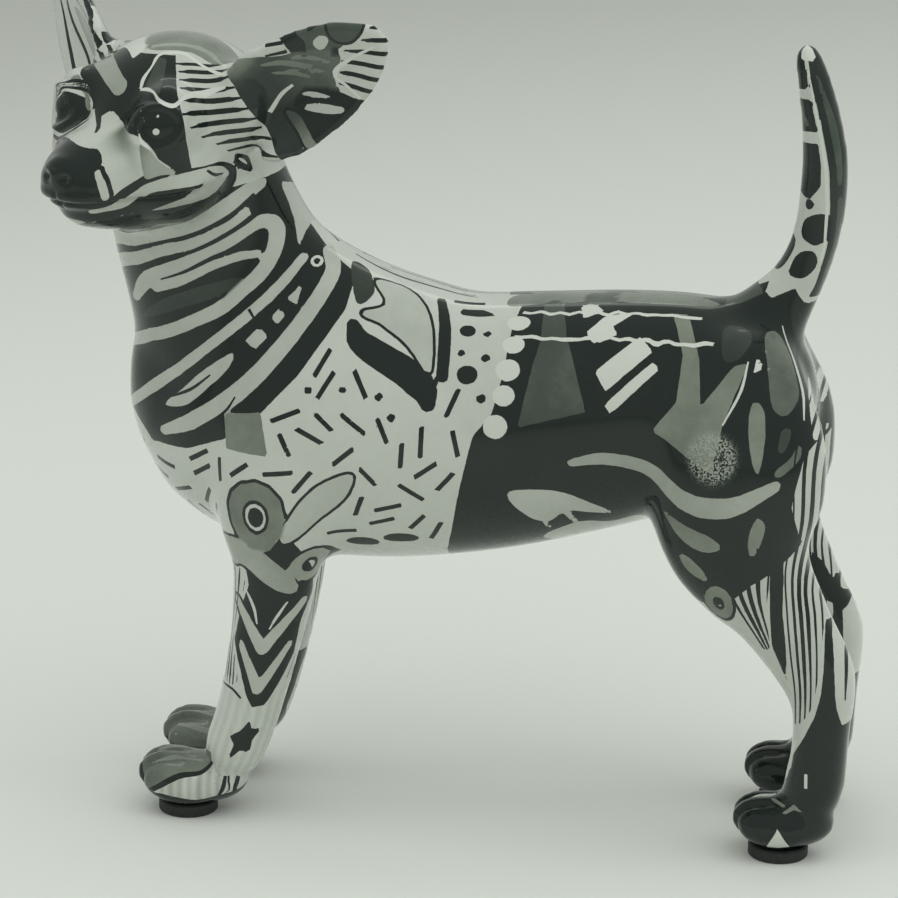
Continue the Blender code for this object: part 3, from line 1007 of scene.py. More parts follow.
# --- the neck: pale sweeping bands over black, from the throat up to the withers
fields.facets(
    neck, INK,
    (-75, 124, -75, 84, -58, 77, -53.5, 71, -46, 71.5, -38.2, 75, -31.9, 80, -25, 87.5, -17.4, 98.6, -16.2,
     104.5, -21, 108, -25.5, 113.5, -30, 124),
)
solids.bands(
    neck, CHALK,
    (-66, 109.4, 1.2, -58, 109.2, 1.3, -52.3, 111.2, 1.4, -44.8, 113.6, 1.5, -38.4, 117.4, 1.5, -33.6, 120.8,
     1.3),
    (-66, 104.4, 1.3, -57.8, 105.2, 1.3, -51.3, 108, 1.1, -44.1, 110.4, 1, -38.1, 113.4, 1, -35.4, 115.9, 0.8),
    (-56.4, 98.4, 1, -53.4, 102.4, 1.5, -45.2, 106.8, 1.15, -38.4, 110.6, 1.15, -33.6, 113.8, 1.2, -30.8,
     113.2, 1.3, -30.4, 109.6, 1.35, -32.4, 105.2, 1.3, -36, 101.6, 1.25, -39.6, 98.4, 1.25, -44.6, 95.6,
     1.2, -50.4, 92.6, 1.2, -57, 90.2, 1.2, -66, 89.6, 1.2),
    (-52, 101.2, 1.2, -46.8, 103, 0.9, -41.4, 106, 0.8, -36.6, 107.8, 0.8, -33.4, 108.2, 0.7),
    (-62, 76, 0.8, -54.8, 80.4, 1.1, -48.5, 85.4, 1, -41.9, 91.2, 0.95, -35.1, 97, 0.95, -29.8, 102, 0.95,
     -25.6, 107.2, 0.8),
    (-50.8, 73.8, 0.9, -44.5, 77.2, 1.5, -38, 81.9, 1.6, -32, 87.6, 1.55, -26.8, 94, 1.45, -22.4, 100.4, 1.4,
     -20.4, 105, 1.3, -21.8, 108.8, 0.9),
)
solids.blobs(
    neck, CHALK, (-50.6, 78.8, -46.8, 82.6, -42.8, 86.6, -37.4, 90.4, -37.8, 87.8, -41.6, 83.8, -46.2, 79.6),
)
solids.facets(
    neck, CHALK, (-35, 92.8, -32.6, 95.4, -30.9, 93.7, -33.2, 91.2),
    (-30.6, 97, -29.2, 98.6, -28, 97.4, -29.4, 95.8), (-28, 100.2, -25.2, 103.2, -26.2, 99.2),
    (-30.4, 121, -27.4, 121, -25.2, 114.8, -26.6, 108.8, -27.8, 114),
)
solids.blobs(
    neck, COAL, (-55.6, 94, -51.4, 98.4, -45.2, 101.4, -39.4, 103.4, -35.6, 104, -40, 100.6, -46.8, 97.8),
)
solids.facets(neck, MID, (-38.4, 79.6, -31.4, 80.8, -29.8, 73, -37.8, 73.4))
ink.draw(
    neck,
    (-66, 107, 0.25, -57.4, 107.1, 0.3, -51.8, 109.5, 0.36, -44.6, 111.9, 0.36, -38.2, 115.3, 0.4, -34,
     118.9, 0.45),
    (-53.5, 105.2, 0.2, -44.6, 108.7, 0.36, -38.2, 112.2, 0.42, -33.6, 115.6, 0.5, -31, 118.6, 0.4),
    (-51, 102.6, 0.15, -46.2, 104.7, 0.3, -40.8, 107.7, 0.42, -35.6, 109.6, 0.5, -32.4, 110, 0.4),
    (-50, 80.2, 0.2, -45.4, 82.6, 0.3, -41.4, 86, 0.15), (-33.6, 96.8, 0.2, -34.6, 98.4, 0.3),
    (-44, 75.6, 0.2, -38.6, 79.6, 0.25, -36.4, 82.8, 0.15),
)
light.draw(neck, ring(-23.3, 106.6, 0.85, 0.24))

# --- the head: a black mask round the eyes and nose, striped cheeks, a long leaf along the jaw
fields.facets(
    head, INK,
    (4.8, -1, 1, 2.6, -9, 8.6, -15.4, 15.5, -22.3, 20.6, -30.2, 24.2, -39.4, 29.7, -46, 44, -34, 58, -3, 53,
     23, 54, 42, 54, 43.3, 23.6, 46.3, 10, 48.2, -2, 51, -16.8, 45.7, -16.9, 39.7, -12.3, 35.2, -8.2, 32.4,
     -2.9, 26.1, 1.1, 20.5, 2.2, 15.2, 4, 9.5, 8.6, 3.5, 11.5, -2, 7.4, 3.6, 2.4),
)
fields.blobs(
    head, INK,
    (-19, -5.9, -10, -2.8, -1.3, -2.7, 5.3, -3.6, 10.3, -4.2, 13.4, -7.9, 13.2, -11, 15, -16.5, 16.9, -22.4,
     14, -25.5, 0, -26.6, -15, -25, -19.4, -19, -17.6, -11),
    (-34, 8.5, -28, 14.5, -20, 13.8, -13.4, 7.6, -12.4, 1.8, -18.6, -3.2, -28, -3, -35, 1.5),
)
for face in (head, head.mirrored()):
    fields.blobs(
        face, INK,
        (11, -22, 18, -20.6, 28.5, -15.2, 35, -13.6, 46, -14.6, 60, -16.4, 72, -17.4, 84, -24, 86, -33, 77,
         -38, 60, -41.5, 44, -41, 28, -46, 14, -44, 0, -38, 0, -26),
    )
    solids.bands(
        face, CHALK,
        (9.5, -25.6, 0.35, 17.5, -27.4, 0.6, 25.9, -23.6, 0.7, 32, -20.6, 0.7, 44.4, -19.4, 0.85, 58, -20.4,
         1, 70, -22.6, 0.9, 76.5, -26.4, 0.6),
    )
    solids.blobs(
        face, PALE,
        (26, -38.5, 31, -33, 40, -29.4, 50, -27.4, 60, -24.8, 72, -24.4, 77, -28.6, 66, -32.6, 52, -33, 40,
         -35.4),
    )
    ink.draw(face, (60, -18.8, 0.2, 66, -23, 0.28, 73, -24.6, 0.15))
solids.blobs(head, PALE, (-7, -29, 0, -28.4, 5, -30, 3, -36, -5, -37))
solids.facets(head, 0.2, (22.5, 28, 23.5, 51, 33.5, 50, 34.5, 21.4, 29.5, 24))
outlined.bands(head, PALE, (-47, 39, 1.7, -24, 36, 1.75, -8, 30.5, 1.75, 2.5, 25.5, 1.65))
outlined.bands(head, CHALK, (13.2, -10.8, 0.2, 14.9, -15, 0.3, 16, -20.2, 0.26))
# The white dots on the eyes are painted highlights, the catchlights of the lamps.
solids.discs(head, WHITE, (34, 4, 0.5), (34.6, 11.2, 0.24), (-33, 2.2, 0.45))
# The grey panel beside the muzzle darkens towards the crease under the eye: painted shade.
crease_painted_shade = PALE - 0.18 * smoothstep(33, 26, head.flat[:, 0] / DEGREE)
solids.blobs(
    head, crease_painted_shade, (26.8, -1.6, 31.6, -4.4, 35.6, -9.8, 43.5, -16, 36, -15.6, 30, -16.6, 28.6, -12),
)
solids.blobs(head, MID, (-31, 24, -25, 20.5, -18, 14.4, -13.4, 8, -16.4, 8.4, -21, 14.6, -28, 18.8, -33, 20))
ink.draw(
    head, ring(-23, 5, 13, 0.32, 20, 170), ring(-23, 5, 17, 0.34, 175, 30),
    (-28, -5.6, 0.2, -19, -5.4, 0.35, -12.5, -0.6, 0.3, -9.4, 4.6, 0.15),
)

for face in (head, head.mirrored()):
    pin_stripes.rule(
        face, (36, 46, 56, 46, 70, 43.6, 96, 38), (50, -14.8, 66, -12.8, 80, -10.4, 104, -7), 10,
        (43, 50, 62, 50, 78, 45, 82, 32, 86, 22, 90, 6, 94, -6, 94, -11.8, 78, -12.6, 66, -6, 55, 0.6, 48, 8,
         45, 16, 46.5, 22, 44, 30, 46, 36, 43.5, 42), 0.48, 1.6,
    )
    fields.blobs(face, INK, (80, -14, 86, -14.5, 93, -18, 99, -27, 90, -26, 83, -22))
    light.draw(face, (84, -17.4, 0.14, 88, -19.4, 0.3, 93, -22.6, 0.14))

# The third of these white lines, under the near eye, is a painted highlight along the lower lid.
light.draw(
    head,
    (19.6, 25.6, 0.3, 18.8, 33, 0.45, 21.4, 42, 0.25, 22.2, 51, 0.5, 26, 55, 0.3, 34, 56.6, 0.5, 44, 57,
     0.35, 55, 54.5, 0.5, 65, 45, 0.35, 74, 35.6, 0.4, 80, 28, 0.3),
    (19.6, 25.2, 0.25, 25, 25.2, 0.4, 30.7, 22.8, 0.22, 34.5, 18.6, 0.35, 41.5, 15.9, 0.4, 46.5, 19.6, 0.35,
     53, 22.6, 0.6, 60, 23.4, 0.7, 68, 25.2, 0.5, 74, 25.6, 0.25),
    (25.4, 2.4, 0.12, 27.6, -0.8, 0.25, 32.4, -3.6, 0.14),
)

crown = Area(hx, hy, np.maximum(head_limit, 7.5 - hz))
solids.blobs(crown, MID, (-8.2, -1.2, -4, -7.6, -2.2, -12.4, 3.5, -12.8, 6, -5, 2, 2.5, -3.6, 3.8))
solids.facets(crown, WHITE, (-11, 0.4, -6.2, 7.8, -3, 5.4, -7.8, -0.4))
fields.blobs(
    crown, INK, (-1, 12, 2.6, 4.5, 8.4, -3.5, 9.8, -11.5, 11.4, -2.5, 5.8, 6.5, 2.4, 13),
    (6, 12.5, 10, 5.5, 13.6, -2.5, 14.6, 3, 10.6, 10.5),
)

nape = Area(hy, hz, np.maximum(head_limit, 6.0 - hx))
for low, high, wide, half in ((-1, 5, 12, 1.25), (-5.6, -0.4, 10, 1.15), (-9.4, -5.6, 6.4, 0.95)):
    middle, shoulder = (low + high) / 2, 0.55 * wide
    fields.bands(
        nape, INK,
        (-wide, low, 0.5, -shoulder, middle + 0.8, half, 0, high, half, shoulder, middle + 0.8, half, wide, low, 0.5),
    )
for back_of_head in (nape, nape.mirrored()):
    fields.discs(back_of_head, INK, (12.6, -5.4, 1), (9.4, -9, 0.9), (13, 4.6, 0.9))

# --- the ears: the near one dark inside with a fan of lines at its tip, the far one white with outlines;
# the near hollow's darkness towards its root is painted shade as well as print
along_ear, across_ear = near_ear.flat.T
# The fill of the near ear's hollow darkens towards the root: partly print, partly painted shade of the hollow.
hollow_painted_shade = 0.08 + 0.22 * smoothstep(8, 15, along_ear)
hollow_painted_shade += 0.42 * smoothstep(-5, -10, across_ear) * smoothstep(13, 6, along_ear)
fields.blobs(
    near_ear, hollow_painted_shade,
    (-4, -13, 5, -10.5, 9, -8.8, 13, -6.6, 17.5, -5.4, 21.5, -3, 21.8, -0.6, 19, 1.2, 18.8, 3.4, 17, 2.6,
     13.5, 0.6, 9.4, 1.8, 8.6, 5, 6, 12, -4, 12),
)
fields.blobs(near_ear, 0.24, (15, -12, 23.5, -12, 25, -5, 23.4, -2.4, 18.4, -4, 15.2, -7))
solids.facets(
    near_ear, INK, (14.6, -10.4, 17.4, -10.2, 18.2, -6.4, 17, -4.6, 14.8, -6.6),
    (19.2, -10.4, 22.6, -10.2, 22.4, -7.8, 19.8, -7.6),
)
fields.blobs(
    near_ear, INK, (11.6, -6.4, 16.8, -5.4, 20, -3.4, 22.6, -3.2, 21.4, -1, 18, -0.8, 15, -3.4),
    (9.4, 1.8, 12.4, -0.2, 15, 0.8, 17.8, 3.4, 20.2, 6, 21.2, 8.4, 19.4, 12, 9, 12, 8.6, 6),
)
solids.blobs(near_ear, CHALK, (19.2, -5.6, 21, -6.2, 22.2, -5, 20.8, -3.8, 19.4, -4))
solids.bands(
    near_ear, 0.4, (9, -7, 0.25, 12.4, -5.4, 0.55, 16, -2.2, 0.5, 18.4, 0.8, 0.25),
    (9.6, -4.8, 0.25, 12.8, -3, 0.45, 15.4, -0.4, 0.25), (14, -6, 0.2, 17, -3.8, 0.45, 19.6, -1.2, 0.25),
)
solids.bands(
    near_ear, CHALK, (12.2, 1.1, 0.3, 14, 2.2, 0.55, 16.2, 4, 0.3),
    (11.6, 3.4, 0.5, 14.4, 5.2, 0.8, 17.4, 7, 0.55),
)
ribbon_shade = DIM + 0.22 * smoothstep(4, 10, across_ear)
outlined.blobs(near_ear, ribbon_shade, (7.4, 2.2, 9.2, 3.2, 10, 6, 10.2, 12, 8.6, 12, 8.2, 6.8))
outlined.blobs(near_ear, 0.22, (22.8, -4.8, 24.2, -8.4, 27.8, -8, 29.2, -5, 27.6, -2.9, 24.6, -2.6))
ink.draw(near_ear, (11.6, -9.6, 0.3, 14.8, -8.4, 0.38), (10.6, -8, 0.2, 14.4, -6.7, 0.35))
pin_stripes.rule(
    near_ear, (24, -5.8, 29, -3, 34, -0.2), (15, 2.2, 19.5, 5.6, 23, 9.6), 7,
    (28.8, -5.4, 33.5, -5, 34, 5, 28, 10.5, 22.8, 11, 20.8, 8, 19.6, 5.2, 19.2, 2.4, 21.2, 0.4, 22.8, -1.6,
     25.2, -1.4, 28.4, -2, 30.2, -3.6), 0.4, 0.8,
)
light.draw(
    near_ear, (28.4, 0.6, 0.2, 24.4, 0.2, 0.3, 20.2, 0.4, 0.42, 19.2, 1.6, 0.32, 20.4, 4, 0.22, 21.6, 7, 0.16),
    (5, 0.8, 0.4, 8.4, -0.8, 0.36, 11.4, -1.2, 0.25),
)
ink.draw(
    far_ear, (1, -8.8, 0.45, 10, -9.6, 0.5, 20, -8.4, 0.5, 28, -4.4, 0.4, 31, 0, 0.3),
    (3, -3.6, 0.3, 10, -5.6, 0.4, 18, -5.2, 0.4, 23, -3, 0.3, 24.4, -0.4, 0.35, 20, 1.6, 0.42, 12, 2.4, 0.4,
     6, 4.6, 0.3), (26, 1.6, 0.2, 19, 4.6, 0.4, 11, 6.8, 0.42, 4, 8, 0.3),
)
solids.blobs(far_ear, PALE, (7, -3.4, 16, -3.6, 21, -1.4, 15, 0.2, 8, 0.6))
for ear_back in (near_ear_back, far_ear_back):
    fields.bands(
        ear_back, INK, (3, -11, 1.6, 10, -2, 1.3, 6, 11, 1.8), (13, -12, 1.2, 18, -3, 1.6, 14, 11, 1.2),
        (22, -11, 0.9, 26, -2, 1.2, 23, 9, 0.8),
    )
    ink.draw(ear_back, (4, -3, 0.2, 7, 2, 0.35, 5, 7, 0.2), (14, -6, 0.2, 18.6, 1.6, 0.35, 17, 8, 0.2))

# --- the forelegs: an outlined ring and a leaf, chevrons over black, pin stripes, soft grey stripes below
for flank in (near_flank, far_flank.moved(1.5)):
    outlined.bands(flank, MID, ring(-32, -13, 3.9, 1.3), steps=1)
    outlined.blobs(
        flank, CHALK,
        (-27.6, -16.6, -25.4, -12.6, -20.4, -8.6, -14.8, -6.4, -15.2, -9.6, -18.4, -13.4, -23.4, -16.4),
    )
fields.discs(near_flank, INK, (-32, -13, 1.5))
for leg in (near_fore, far_fore):
    fields.facets(
        leg, INK,
        (-7, 57, -3, 52, -2.6, 47, -4.8, 41, -5.6, 35.6, -3.4, 31.2, -0.6, 25.4, 1.2, 23, 3.6, 23.4, 5.6, 28,
         7.4, 33, 7, 40, 8.2, 45, 7.4, 49.5, 5, 53.5, 3, 57),
    )
    outlined.blobs(
        leg, PALE, (-6.2, 56.2, -1.4, 55.4, 4.8, 47.8, 4, 45.8, 0.8, 47.4, -3.2, 51, -5.4, 50.6, -8.4, 52.6),
    )
    outlined.bands(leg, PALE, ring(6.4, 51.2, 2.3, 0.8), steps=1)
    outlined.bands(
        leg, CHALK, (-5.6, 43.6, 0.7, 0.9, 34.6, 1.15, 6.6, 44, 0.7),
        (-3.6, 35.2, 0.6, 1.4, 26.6, 1.05, 5.8, 35.4, 0.6), steps=1,
    )
    pin_stripes.rule(
        leg, (-12, 54, -11.4, 38, -9.4, 24), (-3.4, 54, -6.2, 38, -4.4, 24), 6,
        (-13.5, 50, -8.5, 52, -4, 50, -3.4, 47, -5.6, 41, -6.2, 36, -4.6, 32, -3, 27.5, -6, 27, -10, 30,
         -12.5, 38), 0.3, 1.5,
    )
    pin_stripes.rule(
        leg, (8.2, 46, 8, 38, 5.2, 24), (13, 46, 12.6, 38, 10.6, 24), 5,
        (9.6, 45, 13.5, 46, 13, 36, 10.5, 28, 7, 28.5, 8.6, 34, 8.4, 40), 0.24, 1.5,
    )
    light.draw(
        leg, (-3.4, 46.4, 0.14, -1.8, 43, 0.3, -0.8, 39.4, 0.14),
        (3.8, 44.2, 0.14, 2.6, 41.4, 0.28, 1.6, 38.6, 0.12),
    )
    fields.facets(
        leg, INK,
        (1.4, 20.6, 2.2, 18.6, 4.6, 18.8, 3.2, 16.6, 3.6, 13.6, 1.6, 14.6, -0.4, 12, 0, 15.6, -1.6, 17, 0.4,
         18.4),
    )
    fields.facets(
        leg, COAL, (9.5, 26, 12, 22, 12.5, 14, 9, 9, 20, 9, 20, 26), (-20, 26, -18.4, 26, -18.4, 9, -20, 9),
    )
    ink.draw(leg, (-9, 26.4, 0.15, -4, 26.2, 0.25, -1.4, 24.6, 0.2))

SOLE_LINE = -2.0
for paw_skin in (near_front_paw, far_front_paw):
    cap_shade = 0.33 + 0.07 * smoothstep(-54, -47, paw_skin.flat[:, 0])
    fields.facets(
        paw_skin, INK,
        (-62, SOLE_LINE, -50, SOLE_LINE + 0.8, -44, SOLE_LINE, -20, SOLE_LINE, -20, -21, -62, -21),
    )
    fields.facets(
        paw_skin, cap_shade,
        (-64, -2.2, -53.4, -2.2, -50.6, -0.2, -46.8, 1.8, -43, 2.6, -41.2, 5, -41.6, 8.6, -43, 14, -45, 22,
         -64, 22),
    )
    solids.bands(
        paw_skin, 0.52, (-52.6, 5.2, 0.25, -48, 6.6, 0.5, -43.2, 6, 0.3), (-52, 11, 0.5, -46, 12.6, 0.7),
        (-52, 16, 0.4, -45, 17.4, 0.6), steps=2,
    )
    ink.draw(
        paw_skin, (-53.6, -1.8, 0.4, -50.6, 0.2, 0.5, -46.8, 2.2, 0.5, -43.2, 3, 0.45, -41.2, 5.4, 0.35),
        (-40, -2.6, 0.3, -39, -0.2, 0.4, -38.6, 2.8, 0.3), (-36.4, 3.2, 0.3, -36.8, 0.4, 0.4, -37.2, -2.4, 0.3),
    )
solids.facets(near_front_paw, INK, (-60, -3, -53.4, -3, -54.3, 1, -54.8, 6, -54.4, 10, -60, 10))

# --- the hind legs: leaves and a ring on the thigh, pin stripes behind, black boots
for flank in (near_flank, far_flank.moved(2)):
    outlined.blobs(
        flank, MID, (41.6, -9.8, 45.6, -10.2, 50, -10.8, 52.4, -12.2, 48.8, -13.2, 44.6, -12.4),
        (44.6, -15.2, 46.4, -14.8, 48.8, -15.8, 50, -17.2, 48, -17.4, 45.8, -16.8),
    )
    outlined.bands(flank, MID, ring(52, -20.2, 1.9, 0.75), steps=1)
for hind in (near_hind, far_hind):
    pin_stripes.rule(
        hind, (71, 99, 66.8, 88, 64.6, 78, 64.8, 66, 63.7, 57, 64.3, 49, 65.2, 41, 66.2, 33, 66.4, 25),
        (82, 99, 77, 88, 73.6, 78, 72.2, 66, 69.6, 54.5, 70.4, 48, 71, 41, 71, 33, 70.6, 25), 6,
        (70.5, 97, 84, 98, 79, 84, 75, 73, 72.8, 62, 69.6, 54, 70.8, 48, 70.6, 42, 70.2, 36, 69.2, 30.5,
         67.2, 27, 65.8, 27, 65.6, 33, 64.6, 41, 63.7, 49, 63.2, 57, 64, 66, 64, 78, 66.4, 88), 0.36,
    )
    pin_stripes.rule(
        hind, (52, 60, 54.8, 51, 60, 42), (61, 60, 60.8, 51, 62.4, 42), 5,
        (52.4, 61.6, 60.6, 60.4, 60.6, 49, 61.4, 42.2, 60, 41.6, 56.4, 46.6, 53.4, 52), 0.4, 1.6,
    )
    fields.facets(
        hind, INK, (60.8, 63, 63.3, 63, 63.5, 49, 64.3, 42, 64.8, 35, 61.8, 42.4, 61.2, 50),
        (76.6, 27.6, 74.9, 27.2, 73.7, 31, 73.2, 36, 72.9, 40, 72, 46.6, 71, 46.8, 71.2, 40, 71, 34, 70,
         29.2, 67.8, 24, 66.2, 20.5, 65.9, 17.6, 62, 15.4, 50, 16.5, 48, 0, 80, 0, 80, 28),
    )
    light.draw(hind, (63, 13.4, 0.45, 64.7, 15.9, 0.5, 65.6, 20, 0.45, 66.6, 23.6, 0.2))
    light.draw(hind, (68.8, 18, 0.3, 68.9, 15.2, 0.3), steps=1)
    solids.facets(hind, WHITE, (62.2, 3.5, 64.2, 7.6, 66.5, 3.8))
ink.draw(near_hind, (74.4, 44, 0.12, 75.1, 38, 0.3, 75.2, 32, 0.12))
fields.facets(far_hind, INK, (66.4, 52, 69, 49.4, 71.4, 44.8, 74.6, 42.4, 73.4, 40.4, 69.6, 42.6, 67, 47))
for paw_skin in (near_hind_paw, far_hind_paw):
    solids.bands(
        paw_skin, MID, (60, 8.2, 0.2, 62.3, 8.7, 0.35), (62.8, 7.4, 0.3, 64.9, 5.3, 0.3),
        (65.2, 3.9, 0.25, 66.8, 4.9, 0.4, 68.4, 4.1, 0.15), steps=1,
    )
    solids.discs(paw_skin, CHALK, (66, 8.2, 0.5))
light.draw(near_hind_paw, (56.6, 9.8, 0.12, 58.6, 10.4, 0.2, 60.8, 10.7, 0.24, 63.2, 10.4, 0.28))

# --- the tail: black blots on white towards its root, dark on its right and near its tip, its white end a painted highlight
fields.facets(
    tail_skin, INK, (-14, 90, -14, 103, -6, 103.6, -4.2, 105.6, -2.5, 102.4, 0, 105, 3, 102, 14, 102, 14, 90),
)
TAIL_BLACK = 0.06
fields.facets(
    tail_skin, TAIL_BLACK,
    (0.8, 152, -0.4, 142, 0.2, 134, 0.8, 127, 1.6, 119, 2.6, 111, 3, 103, 12.6, 103, 12.6, 152),
    (-12.6, 152, -10, 152, -9.6, 130, -10.2, 115, -11, 103, -12.6, 103),
)
fields.facets(
    tail_skin, INK, (-12.6, 152, -1.2, 152, -1.3, 140.6, -7, 140.2, -12.6, 139.3),
    (-12.6, 139.3, -7, 138.6, -1.2, 138.9, -0.8, 133.2, -7, 132.6, -12.6, 131.6),
    (-12.6, 131.6, -7, 130.7, -0.8, 131.2, -0.4, 123.4, -2.4, 120.8, -5, 122, -12.6, 119.6),
)
fields.blobs(
    tail_skin, INK,
    (-2.2, 117.6, 0.4, 118.6, 2.3, 117.2, 2.9, 115.2, 1.9, 113.4, -0.4, 112.9, -2.4, 114, -2.9, 115.8),
    (-6.8, 113.4, -3.9, 113.6, -3.4, 110.2, -4.4, 107.6, -7.4, 108.4),
    (-1.9, 111.3, 0.4, 111.6, 1.8, 109.2, 0.6, 106.8, -1.9, 107.2, -2.4, 109.2),
)
fields.discs(tail_skin, INK, (-2.2, 120, 0.9), (-6.4, 117.2, 1.1))
solids.bands(
    tail_skin, DIM, (1.6, 143, 0.4, 2.6, 134, 0.9, 3, 124, 0.5), (3.4, 121, 0.6, 4.6, 113, 1, 4.4, 106, 0.5),
    (5.4, 140, 0.4, 6, 130, 0.9, 6.2, 120, 0.5), (-5.5, 137.5, 0.3, -3, 134.5, 0.6),
)
# The white tip is a painted highlight, the glint of light on the end of the tail.
solids.blobs(tail_skin, WHITE, (-2.8, 146.2, 0.2, 145.6, 2.9, 146.2, 2.9, 152, -2.8, 152))
light.draw(tail_skin, (-0.6, 144, 0.2, -0.5, 137, 0.32, 0.1, 129, 0.35, 1, 120, 0.3, 2.2, 110, 0.2))

# --- the black dashes, thrown at random over whatever is left white on the chest, the ribs and the belly
DASH_HALF_LENGTH = (2.3, 3.0)
DASH_HALF_WIDTH = 0.46
DASH_CLEARANCE = 2.45
DASH_CORRIDOR = 0.64
DASH_REACH = 2.5
DASH_ROOM = 1.2
OUTLINE_MARGIN = 0.6
LINE_MARGIN = 2.2
DASH_TRIES = 9000
clear_of_print = np.minimum.reduce([
    fields.edge, solids.edge, outlined.edge - OUTLINE_MARGIN, ink.nearest - LINE_MARGIN,
    pin_stripes.edge - OUTLINE_MARGIN,
])
on_chest = (X > -58) & (X < 12) & (Z > 57.5) & (neck_line > 1)
dash_points = np.zeros((0, 3))
for spot in random.choice(np.nonzero(on_chest & (clear_of_print > DASH_ROOM))[0], DASH_TRIES):
    normal = normals[spot]
    level = np.cross(normal, (0, 0, 1))
    level /= np.linalg.norm(level)
    turn = random.uniform(0, pi)
    along = cos(turn) * level + sin(turn) * np.cross(normal, level)
    half = random.uniform(*DASH_HALF_LENGTH)
    body_points = places[spot] + np.outer(np.linspace(-half, half, 5), along)
    gaps = np.linalg.norm(dash_points[:, None] - body_points[None], axis=2)
    if gaps.min(initial=FAR) < DASH_CLEARANCE:
        continue
    around = np.nonzero(np.abs(places - places[spot]).max(1) < half + DASH_REACH)[0]
    from_spot = places[around] - places[spot]
    offset, run = from_spot @ np.cross(normal, along), from_spot @ along
    depth = np.abs(from_spot @ normal)
    touching = (np.abs(offset) < 1.1) & (np.abs(run) < half + 0.9)
    if clear_of_print[around][touching].min() < 0.35:
        continue
    dash_points = np.vstack([dash_points, body_points])
    gap = np.hypot(offset, np.maximum(np.abs(run) - half, 0))
    closer = (gap < ink.nearest[around]) & (depth < DASH_REACH)
    chosen = around[closer]
    ink.nearest[chosen] = gap[closer]
    ink.offset[chosen] = offset[closer] / DASH_HALF_WIDTH
    ink.beside[chosen] = np.maximum(np.abs(run) - half, np.abs(offset) - DASH_CORRIDOR)[closer]

# --- the ground under the print: white resin, greyer on the muzzle and the shins, with painted shade
# along the muzzle's crease and inside the near ear's hollow
ground = np.full(count, 0.94)
ground -= 0.07 * smoothstep(2, -2, head_limit)
# A soft dark band along the crease between the muzzle and the eye, fading at its ends: painted shade.
_, half, gap, beyond = follow(head, (15.5, 2.6, 1.6, 19, -1, 1.3, 23.4, -5, 0.9, 27.6, -13, 0.7))
crease_shade_fade = smoothstep(1.5, 0, beyond) * smoothstep(30, 14, head.flat[:, 0] / DEGREE)
ground[head.at] -= 0.56 * np.exp(-((gap / half) ** 2)) * crease_shade_fade
shin = smoothstep(27, 24, Z) * (X < 0)
ground -= shin * (0.02 + 0.07 * np.sin(round_leg(np.where(Y < 0, -1, 1)) * 3.0))
# Greyer deeper in the near ear's hollow, where it faces forwards: painted shade.
ground[near_ear.at] -= 0.06 * smoothstep(0, -3, near_ear.limit)
on_paw_side = smoothstep(12, 9, Z) * smoothstep(-38, -40, X)
ground -= on_paw_side * (0.10 + 0.12 * np.sin(X * 3.6))
speckle = np.zeros(count)
for flank, middle, full, none in ((near_flank, 50.0, 3.4, 4.8), (far_flank, 48.5, 3.2, 4.4)):
    from_middle = np.hypot((flank.flat[:, 0] - middle) * 0.9, flank.flat[:, 1] - 0.6)
    speckle[flank.at] = smoothstep(none, full, from_middle)


def keep(name, *columns):
    """Writes three numbers for each point of the skin, for the lacquer to read."""
    attribute = dog.data.attributes.new(name, "FLOAT_VECTOR", "POINT")
    attribute.data.foreach_set("vector", np.stack(columns, 1).astype(np.float32).ravel())


keep("outlines", fields.edge, solids.edge, outlined.edge)
keep("shades", fields.shade, solids.shade, outlined.shade)
# The third number is the ground tone, the painted shade of the crease and the ear's hollow included.
keep("ink_lines", ink.offset, ink.beside, ground)
keep("light_lines", light.offset, light.beside, speckle)
keep("pin_stripes", pin_stripes.step, pin_stripes.spacing, pin_stripes.edge)

# ----------------------------------------------------------
# The finish: print inks under a thick clear lacquer, sprayed over the whole casting and polished, so that
# it mirrors the long soft box behind and the small lamp. It has the faint orange peel of sprayed lacquer,
# and the printed greys have a little grain.
# ----------------------------------------------------------
lacquer, shader = new_material("lacquered_print")
coordinates = node("ShaderNodeTexCoord").outputs["Object"]
field_edge, solid_edge, outlined_edge = attribute("outlines")
field_shade, solid_shade, outlined_shade = attribute("shades")
# The ground tone carries the painted shade of the muzzle's crease and the near ear's hollow.
ink_offset, ink_beside, ground_shade = attribute("ink_lines")
light_offset, light_beside, speckle_share = attribute("light_lines")
stripe_step, stripe_spacing, stripe_edge = attribute("pin_stripes")

EDGE_WANDER = 0.34
RIM = 0.55
SPECKLE_SHADE = 0.62
PEEL_STRENGTH = 0.06
wobble = (noise(coordinates, 420.0, 3.0, 0.6) - 0.5) * EDGE_WANDER


def line_mask(half_widths, edge):
    """1 on a line, from the half widths to its middle and the distance to the edge of its patch."""
    return (half_widths + wobble < 1.0) * (edge + wobble < 0.0)


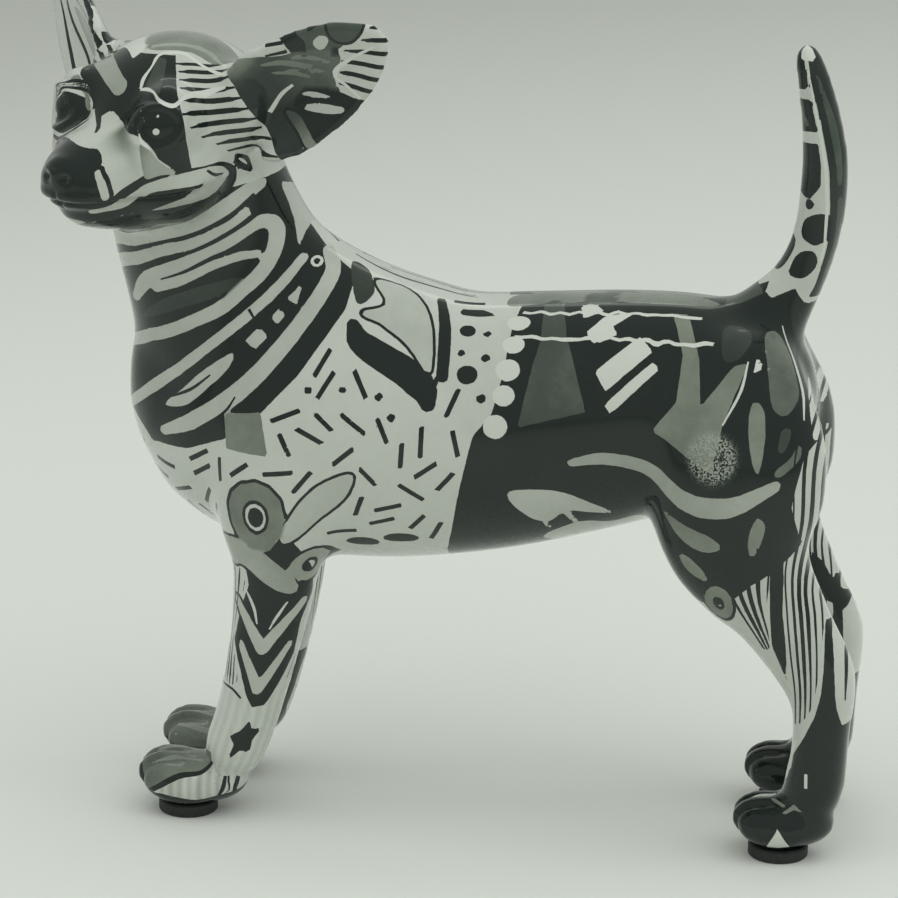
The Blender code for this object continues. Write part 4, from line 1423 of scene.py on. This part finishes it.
grain = noise(coordinates, 2600.0, 2.0, 0.7)
shade = ground_shade
for mask, printed in (
    (field_edge + wobble < 0.0, field_shade),
    (solid_edge + wobble < 0.0, solid_shade),
    (outlined_edge + wobble < RIM, INK),
    (outlined_edge + wobble < 0.0, outlined_shade),
    (line_mask(stripe_step.math("PINGPONG", 0.5) * stripe_spacing, stripe_edge), INK),
    (line_mask(ink_offset.math("ABSOLUTE"), ink_beside), INK),
    (line_mask(light_offset.math("ABSOLUTE"), light_beside), WHITE),
    ((grain < 0.5) * speckle_share, SPECKLE_SHADE),
):
    shade = mask.blend(shade, printed)
half_tone = shade * (1 - shade) * 4
mottle = (noise(coordinates, 90.0, 4.0, 0.6) - 0.5) * (half_tone * 0.30 + 0.07)
shade = shade + mottle + (grain - 0.5) * 0.05

colour_by(
    shade, shader,
    (INK, (0.0070, 0.0140, 0.0115)),
    (DIM, (0.060, 0.078, 0.064)),
    (MID, (0.190, 0.215, 0.178)),
    (PALE, (0.345, 0.370, 0.325)),
    (WHITE, (0.620, 0.645, 0.597)),
)
link(noise(coordinates, 240.0) * 0.10 + 0.22, shader.inputs["Roughness"])
shader.inputs["Coat Weight"].default_value = 1.0
shader.inputs["Coat Roughness"].default_value = 0.03
shader.inputs["Coat IOR"].default_value = 1.42
shader.inputs["Specular IOR Level"].default_value = 0.1
peel = node("ShaderNodeBump", Strength=PEEL_STRENGTH, Distance=0.0004, Height=noise(coordinates, 330.0, 2.0))
link(peel.outputs["Normal"], shader.inputs["Normal"])

dog.data.materials.clear()
dog.data.materials.append(lacquer)
dog.data.transform(Matrix.Translation(MIDDLE * MM))
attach(dog, "root")
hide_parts("dog_figurine")

# ----------------------------------------------------------
# Four round feet of black rubber, punched from sheet and glued under the paws. Their faces are dull and
# slightly dusty, with the fine grain of moulded rubber.
# ----------------------------------------------------------
rubber, shader = new_material("foot_rubber")
coordinates = node("ShaderNodeTexCoord").outputs["Object"]
dust = noise(coordinates, 700.0, 4.0, 0.65)
colour_by(dust, shader, (0.35, (0.010, 0.013, 0.012)), (0.80, (0.030, 0.035, 0.032)))
link(dust * 0.25 + 0.52, shader.inputs["Roughness"])
grain = node("ShaderNodeBump", Strength=0.25, Distance=0.0003, Height=noise(coordinates, 1500.0, 3.0))
link(grain.outputs["Normal"], shader.inputs["Normal"])
for name in ("pad_front_left", "pad_front_right", "pad_rear_left", "pad_rear_right"):
    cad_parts[name].material_slots[0].material = rubber
